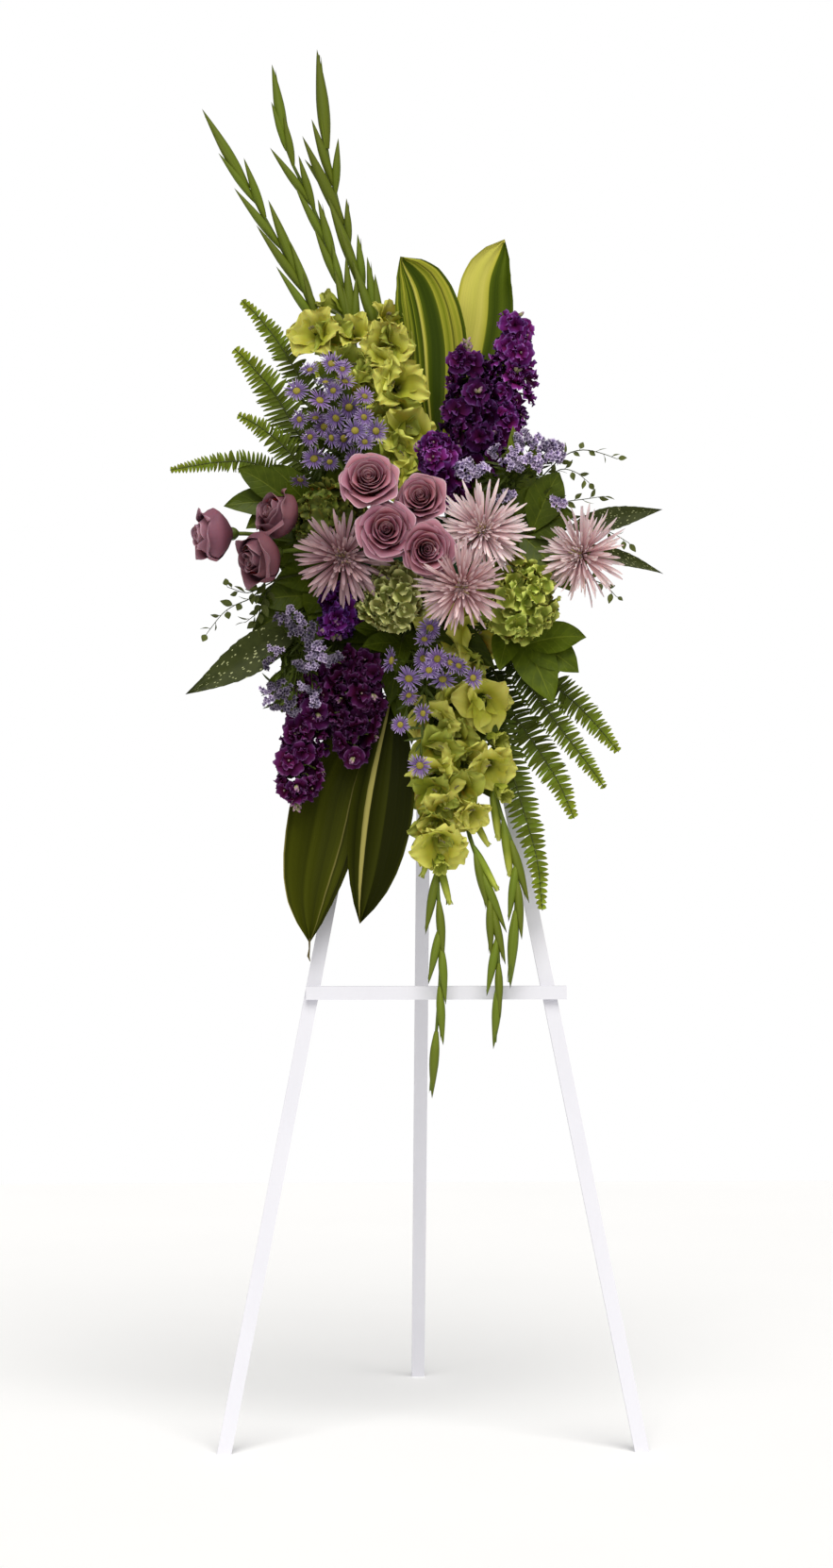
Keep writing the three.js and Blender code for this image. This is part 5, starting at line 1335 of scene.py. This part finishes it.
ASTERS = {
    "asters_upper": dict(stem=(-84, 128, 1382), fork=(-132, 108, 1446), heads=[
        (-174, 78, 1539), (-152, 66, 1520), (-141, 62, 1508), (-193, 84, 1509), (-160, 64, 1494),
        (-137, 52, 1468), (-189, 74, 1468), (-144, 58, 1440), (-110, 54, 1450), (-96, 52, 1434),
        (-97, 62, 1470), (-80, 60, 1450), (-174, 66, 1442), (-126, 64, 1440), (-146, 56, 1406),
        (-188, 64, 1381), (-124, 74, 1522), (-128, 70, 1540), (-96, 66, 1500), (-143, 72, 1547),
        (-166, 80, 1470), (-118, 84, 1486), (-154, 84, 1458), (-112, 80, 1412), (-168, 84, 1412),
    ]),
    "asters_lower": dict(stem=(-4, 96, 1160), fork=(-12, 68, 1104), heads=[
        (-58, 26, 1122), (-12, 22, 1152), (-34, 28, 1096), (-6, 10, 1108), (24, 6, 1118), (56, 2, 1097),
        (-46, 30, 1031), (-14, 18, 1047), (-18, 36, 973), (-34, 30, 1073), (-13, 36, 1125), (6, 10, 1124),
        (36, 8, 1114), (-4, 30, 1168), (14, 24, 1096),
    ]),
}
STATICE_SPRAYS = {
    "statice_right": dict(stem=(104, 104, 1346), fork=(120, 92, 1380), heads=[
        (91, 66, 1421), (57, 60, 1401), (44, 62, 1395), (68, 62, 1394), (136, 76, 1443), (125, 74, 1439),
        (148, 78, 1437), (114, 66, 1417), (125, 62, 1404), (136, 64, 1409), (150, 66, 1407), (163, 76, 1429),
        (172, 78, 1429), (184, 80, 1423), (175, 74, 1416), (109, 62, 1403), (98, 66, 1353), (111, 68, 1363),
        (182, 66, 1350), (121, 64, 1424),
    ]),
    "statice_left": dict(stem=(-160, 112, 1176), fork=(-190, 92, 1136), radius=9.8, heads=[
        (-218, 58, 1182), (-202, 58, 1193), (-206, 56, 1176), (-189, 54, 1180), (-190, 54, 1162),
        (-172, 50, 1166), (-175, 50, 1148), (-163, 50, 1140), (-171, 50, 1132), (-151, 44, 1126),
        (-140, 42, 1125), (-224, 58, 1137), (-233, 58, 1120), (-187, 52, 1114), (-172, 50, 1111),
        (-224, 56, 1091), (-235, 56, 1082), (-211, 52, 1078), (-202, 48, 1061), (-232, 54, 1066),
        (-221, 52, 1057), (-186, 50, 1085), (-170, 50, 1079), (-167, 50, 1066), (-197, 46, 1049),
    ]),
}
STRAP_LEAVES = {
    "leaf_up_left": dict(start=1.4, half=51, outline=ROUND_OUTLINE, path=[
        (-2, 184, 1306), (2, 190, 1370), (10, 192, 1440), (8, 192, 1520), (4, 188, 1600), (-12, 182, 1668),
        (-42, 172, 1714),
    ]),
    "leaf_up_right": dict(start=1.4, half=44, outline=ROUND_OUTLINE, path=[
        (22, 176, 1306), (40, 200, 1380), (52, 216, 1450), (64, 222, 1530), (81, 222, 1624), (88, 220, 1690),
        (113, 218, 1746),
    ]),
    "leaf_down_left": dict(start=1.2, half=54, dry_tip=26, path=[
        (-62, 166, 1216), (-70, 150, 1150), (-96, 126, 1040), (-138, 108, 950), (-159, 94, 866),
        (-173, 82, 790), (-175, 76, 718),
    ]),
    "leaf_down_right": dict(start=1.2, half=46, path=[
        (-32, 164, 1216), (-40, 140, 1150), (-56, 106, 1030), (-66, 88, 950), (-76, 78, 879), (-88, 72, 810),
        (-103, 68, 746),
    ]),
}
FERNS = {
    "fern_left_1": dict(start=1.5, half=27, pairs=38, path=[
        (-92, 162, 1298), (-122, 168, 1392), (-162, 176, 1487), (-209, 182, 1573), (-244, 184, 1621),
        (-273, 184, 1651),
    ]),
    "fern_left_2": dict(start=1.4, half=38, pairs=36, path=[
        (-100, 160, 1288), (-134, 158, 1360), (-174, 156, 1426), (-223, 158, 1509), (-255, 157, 1548),
        (-283, 154, 1577),
    ]),
    "fern_left_3": dict(start=1.4, half=28, pairs=34, path=[
        (-104, 152, 1276), (-134, 142, 1328), (-164, 136, 1380), (-212, 134, 1434), (-248, 132, 1463),
        (-278, 128, 1479),
    ]),
    "fern_left_4": dict(start=1.3, half=22, pairs=46, path=[
        (-106, 162, 1250), (-154, 148, 1312), (-202, 134, 1370), (-250, 112, 1406), (-304, 108, 1409),
        (-375, 102, 1397),
    ]),
    "fern_right_1": dict(start=1.2, half=29, pairs=36, path=[
        (72, 156, 1240), (114, 140, 1162), (153, 130, 1111), (207, 124, 1066), (243, 118, 1028),
        (272, 112, 992),
    ]),
    "fern_right_2": dict(start=1.2, half=25, pairs=42, path=[
        (66, 148, 1224), (104, 118, 1138), (142, 106, 1088), (194, 98, 1017), (225, 92, 976), (250, 86, 940),
    ]),
    "fern_right_3": dict(start=1.2, half=33, pairs=38, path=[
        (56, 158, 1212), (86, 144, 1130), (111, 136, 1065), (156, 124, 996), (186, 112, 946),
        (207, 102, 896),
    ]),
    "fern_right_4": dict(start=1.1, half=30, pairs=44, path=[
        (64, 150, 1204), (78, 128, 1110), (104, 112, 1008), (130, 102, 921), (152, 92, 840), (160, 84, 764),
    ]),
}
SALAL_STEMS = {
    "salal_left": dict(stems=[
        ([(-108, 142, 1300), (-160, 112, 1332), (-206, 96, 1350)], [
            (1.9, (-278, 84, 1398), 20), (1.7, (-298, 86, 1344), 20), (1.75, (-266, 90, 1312), 17),
            (1.1, (-232, 96, 1404), 20), (1.4, (-246, 92, 1328), 16), (0.8, (-210, 90, 1348), 20),
            (0.9, (-198, 92, 1300), 26), (0.7, (-150, 96, 1290), 26), (1.0, (-254, 96, 1286), 26),
            (0.6, (-244, 98, 1256), 26), (1.2, (-208, 88, 1380), 20), (0.8, (-176, 96, 1250), 28),
            (0.5, (-120, 104, 1424), 26), (0.4, (-74, 110, 1436), 24),
        ]),
        ([(-112, 146, 1256), (-158, 116, 1222), (-200, 102, 1180), (-214, 96, 1110)], [
            (0.4, (-226, 92, 1236), 24), (0.6, (-176, 88, 1180), 26), (1.2, (-252, 90, 1206), 22),
            (1.5, (-258, 92, 1162), 20), (1.3, (-150, 88, 1196), 24), (1.8, (-168, 88, 1140), 24),
            (2.2, (-240, 94, 1120), 18), (2.4, (-176, 90, 1090), 22), (3.0, (-214, 90, 1048), 20),
            (2.7, (-178, 92, 1050), 18), (0.2, (-196, 92, 1270), 26), (0.9, (-220, 100, 1262), 22),
            (0.3, (-146, 112, 1130), 30), (0.1, (-118, 118, 1070), 28), (0.5, (-168, 112, 1056), 28),
            (0.7, (-140, 116, 1010), 24), (0.2, (-96, 110, 1010), 26), (1.0, (-196, 112, 1112), 26),
        ]),
        ([(-90, 150, 1320), (-124, 130, 1400), (-142, 122, 1466), (-146, 118, 1516)], [
            (0.7, (-170, 104, 1416), 17), (1.0, (-92, 106, 1444), 17), (1.4, (-186, 104, 1468), 15),
            (1.7, (-96, 106, 1486), 15), (2.1, (-178, 104, 1512), 14), (2.4, (-112, 106, 1522), 13),
            (3.0, (-152, 106, 1556), 11), (0.4, (-150, 100, 1372), 20), (1.2, (-146, 100, 1478), 14),
        ]),
    ]),
    "salal_right": dict(stems=[
        ([(88, 146, 1296), (118, 112, 1302), (146, 92, 1310)], [
            (2, (184, 80, 1394), 26), (1.6, (206, 84, 1334), 26), (1.4, (202, 76, 1222), 30),
            (1.3, (118, 96, 1462), 14, YOUNG_SALAL), (1.2, (148, 84, 1376), 22), (0.9, (150, 88, 1234), 26),
            (0.5, (30, 108, 1416), 26), (0.6, (76, 104, 1420), 26), (0.8, (112, 96, 1390), 24),
            (0.9, (176, 92, 1290), 28), (0.2, (-24, 112, 1416), 24), (0.8, (128, 92, 1330), 28),
            (1.2, (152, 88, 1444), 12, YOUNG_SALAL),
        ]),
    ]),
    "salal_lower_right": dict(material=LIT_SALAL, stems=[
        ([(86, 148, 1229), (114, 118, 1186), (136, 98, 1146)], [
            (2, (222, 66, 1156), 22), (1.7, (212, 78, 1106), 27), (1.4, (174, 66, 1060), 29),
            (1.2, (96, 56, 1108), 20), (1.0, (184, 80, 1196), 24),
        ]),
    ]),
    "salal_centre": dict(material=SHADED_SALAL, stems=[
        ([(-24, 142, 1204), (-34, 110, 1172), (-44, 88, 1146)], [
            (2, (-100, 48, 1142), 14), (1.8, (-112, 60, 1170), 15), (1.7, (-52, 46, 1104), 15),
            (1.5, (14, 48, 1128), 15), (1.2, (-86, 74, 1112), 20), (1.0, (20, 88, 1110), 18),
            (0.6, (-150, 84, 1150), 26), (0.8, (-128, 84, 1100), 26), (0.9, (-60, 84, 1060), 26),
            (0.8, (0, 80, 1060), 26), (0.7, (52, 78, 1084), 26), (0.5, (92, 80, 1112), 26),
            (0.3, (96, 92, 1170), 28), (0.2, (60, 96, 1200), 26), (0.4, (-30, 92, 1090), 26),
            (0.5, (-46, 90, 1024), 26), (0.8, (-28, 86, 1002), 24),
        ]),
        ([(10, 148, 1202), (30, 122, 1124), (48, 104, 1056), (62, 96, 980)], [
            (1.0, (-2, 90, 1086), 20), (1.4, (84, 92, 1070), 20), (1.8, (22, 88, 1006), 20),
            (1.2, (-22, 88, 1040), 22), (1.6, (-10, 88, 984), 22), (1.5, (112, 94, 1046), 20),
            (2.2, (98, 92, 1006), 18), (2.6, (44, 88, 950), 18), (3.0, (86, 88, 926), 18),
        ]),
    ]),
}
SPOTTED_STEMS = {
    "spotted_left": dict(stems=[
        ([(-108, 148, 1240), (-152, 116, 1206), (-186, 92, 1184)], (-352, 58, 1074), 29, -0.03),
    ]),
    "spotted_right": dict(stems=[
        ([(94, 150, 1290), (150, 118, 1304), (200, 98, 1314)], (333, 84, 1341), 18, 0.01),
        ([(94, 150, 1278), (150, 118, 1288), (196, 100, 1284)], (335, 88, 1248), 13, 0.05),
    ]),
}
EUCALYPTUS_STEMS = {
    "eucalyptus_right": dict(stem=(140, 122, 1346), half=4.4, length=20, twigs=[
        [(160, 100, 1388), (192, 90, 1418), (218, 84, 1426), (244, 80, 1421), (266, 78, 1413)],
        [(158, 104, 1376), (184, 96, 1398), (207, 90, 1395), (226, 86, 1380)],
        [(164, 110, 1352), (210, 98, 1355), (248, 92, 1360)],
        [(206, 104, 1326), (258, 90, 1308), (284, 86, 1293)],
        [(206, 100, 1262), (250, 90, 1232), (266, 86, 1216)],
    ]),
    "eucalyptus_left": dict(stem=(-196, 104, 1246), half=5.4, length=21, twigs=[
        [(-238, 86, 1236), (-256, 80, 1214), (-282, 76, 1202), (-300, 74, 1189), (-321, 70, 1162)],
        [(-240, 88, 1230), (-264, 80, 1220), (-292, 76, 1228)],
        [(-236, 88, 1222), (-248, 82, 1194), (-266, 78, 1178)],
        [(-240, 90, 1210), (-262, 84, 1150), (-290, 80, 1126)],
    ]),
}

KINDS = [
    (ROSES, rose, "rose_petal"),
    (MUMS, mum, "mum_petal"),
    (HYDRANGEAS, hydrangea, "hydrangea_petal"),
    (GLADIOLI, gladiolus, "gladiolus_petal"),
    (STOCKS, stock, "stock_petal"),
    (ASTERS, aster_spray, "aster_petal"),
    (STATICE_SPRAYS, statice_spray, "statice_petal"),
    (STRAP_LEAVES, strap_leaf, "strap_leaf"),
    (FERNS, fern, "fern_leaf"),
    (SALAL_STEMS, leafy_stem, "salal_leaf"),
    (SPOTTED_STEMS, spotted_stem, "spotted_leaf"),
    (EUCALYPTUS_STEMS, eucalyptus, "eucalyptus_leaf"),
]
for table, make, slot in KINDS:
    for name, values in table.items():
        piece = Piece(name)
        make(piece, **values)
        piece.build()

# The easel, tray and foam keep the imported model's own shapes.

HARDWARE = {"foam_block": foam_look(), "foam_tray": plastic_look()}
PAINT, STEEL = paint_look(), metal_look()
for name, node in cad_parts.items():
    if node.hide_render or any(name in table for table, _, _ in KINDS):
        continue
    look = HARDWARE.get(name, STEEL if name.startswith(("hinge", "tie")) else PAINT)
    node.data.materials.clear()
    node.data.materials.append(look)

# A pale floor, a white background and soft studio light

FLOOR_COLOUR = (0.99, 0.99, 0.995)
FLOOR_REACH = 3
SKY = 0.36


def floor_look():
    look = Look("floor", 0.9)
    cloud = look.object_noise(2, 2)
    return look.done(look.blend(cloud, FLOOR_COLOUR, tuple(0.97 * c for c in FLOOR_COLOUR)))


def floor():
    mesh = bpy.data.meshes.new("floor")
    corners = [(x * FLOOR_REACH, y * FLOOR_REACH, 0) for x, y in ((-1, -1), (1, -1), (1, 1), (-1, 1))]
    mesh.from_pydata(corners, [], [(0, 1, 2, 3)])
    mesh.materials.append(floor_look())
    sheet = bpy.data.objects.new("floor", mesh)
    bpy.context.scene.collection.objects.link(sheet)


def background():
    """White as the camera sees it, and dimmer, at the strength SKY, as a light."""
    world = bpy.data.worlds.new("studio")
    world.use_nodes = True
    nodes, links = world.node_tree.nodes, world.node_tree.links
    sky = nodes["Background"]
    sky.inputs["Color"].default_value = (1, 1, 1, 1)
    path = nodes.new("ShaderNodeLightPath")
    level = nodes.new("ShaderNodeMapRange")
    level.inputs["To Min"].default_value = SKY
    links.new(path.outputs["Is Camera Ray"], level.inputs["Value"])
    links.new(level.outputs["Result"], sky.inputs["Strength"])
    bpy.context.scene.world = world


def distant_light(name, direction, strength, width, colour):
    """Even light from far away. Direction points to it, and a larger width softens its shadows."""
    data = bpy.data.lights.new(name, "SUN")
    data.energy = strength
    data.angle = math.radians(width)
    data.color = colour
    light = bpy.data.objects.new(name, data)
    light.rotation_euler = Vector(direction).to_track_quat("Z", "Y").to_euler()
    bpy.context.scene.collection.objects.link(light)


floor()
background()
distant_light("key", (0.1, -0.8, 1.2), strength=2.45, width=45, colour=(1.0, 0.985, 0.95))
distant_light("front", (-0.4, -1.0, 0.35), strength=0.45, width=40, colour=(1.0, 0.99, 0.97))
bpy.context.scene.view_settings.view_transform = "Standard"

CAMERA_TARGET = Vector((-0.024, 0, 0.947)) + Vector(EASEL)
CAMERA_DISTANCE, CAMERA_LENS, SENSOR_WIDTH = 5.3, 86.1, 36
AZIMUTH, ELEVATION = math.radians(-1.9), math.radians(0.57)
back = Vector((
    math.sin(AZIMUTH) * math.cos(ELEVATION), -math.cos(AZIMUTH) * math.cos(ELEVATION), math.sin(ELEVATION),
))
camera = bpy.data.objects.new("camera", bpy.data.cameras.new("camera"))
camera.data.lens, camera.data.sensor_width = CAMERA_LENS, SENSOR_WIDTH
camera.location = CAMERA_TARGET + back * CAMERA_DISTANCE
camera.rotation_euler = back.to_track_quat("Z", "Y").to_euler()
bpy.context.scene.collection.objects.link(camera)
bpy.context.scene.camera = camera
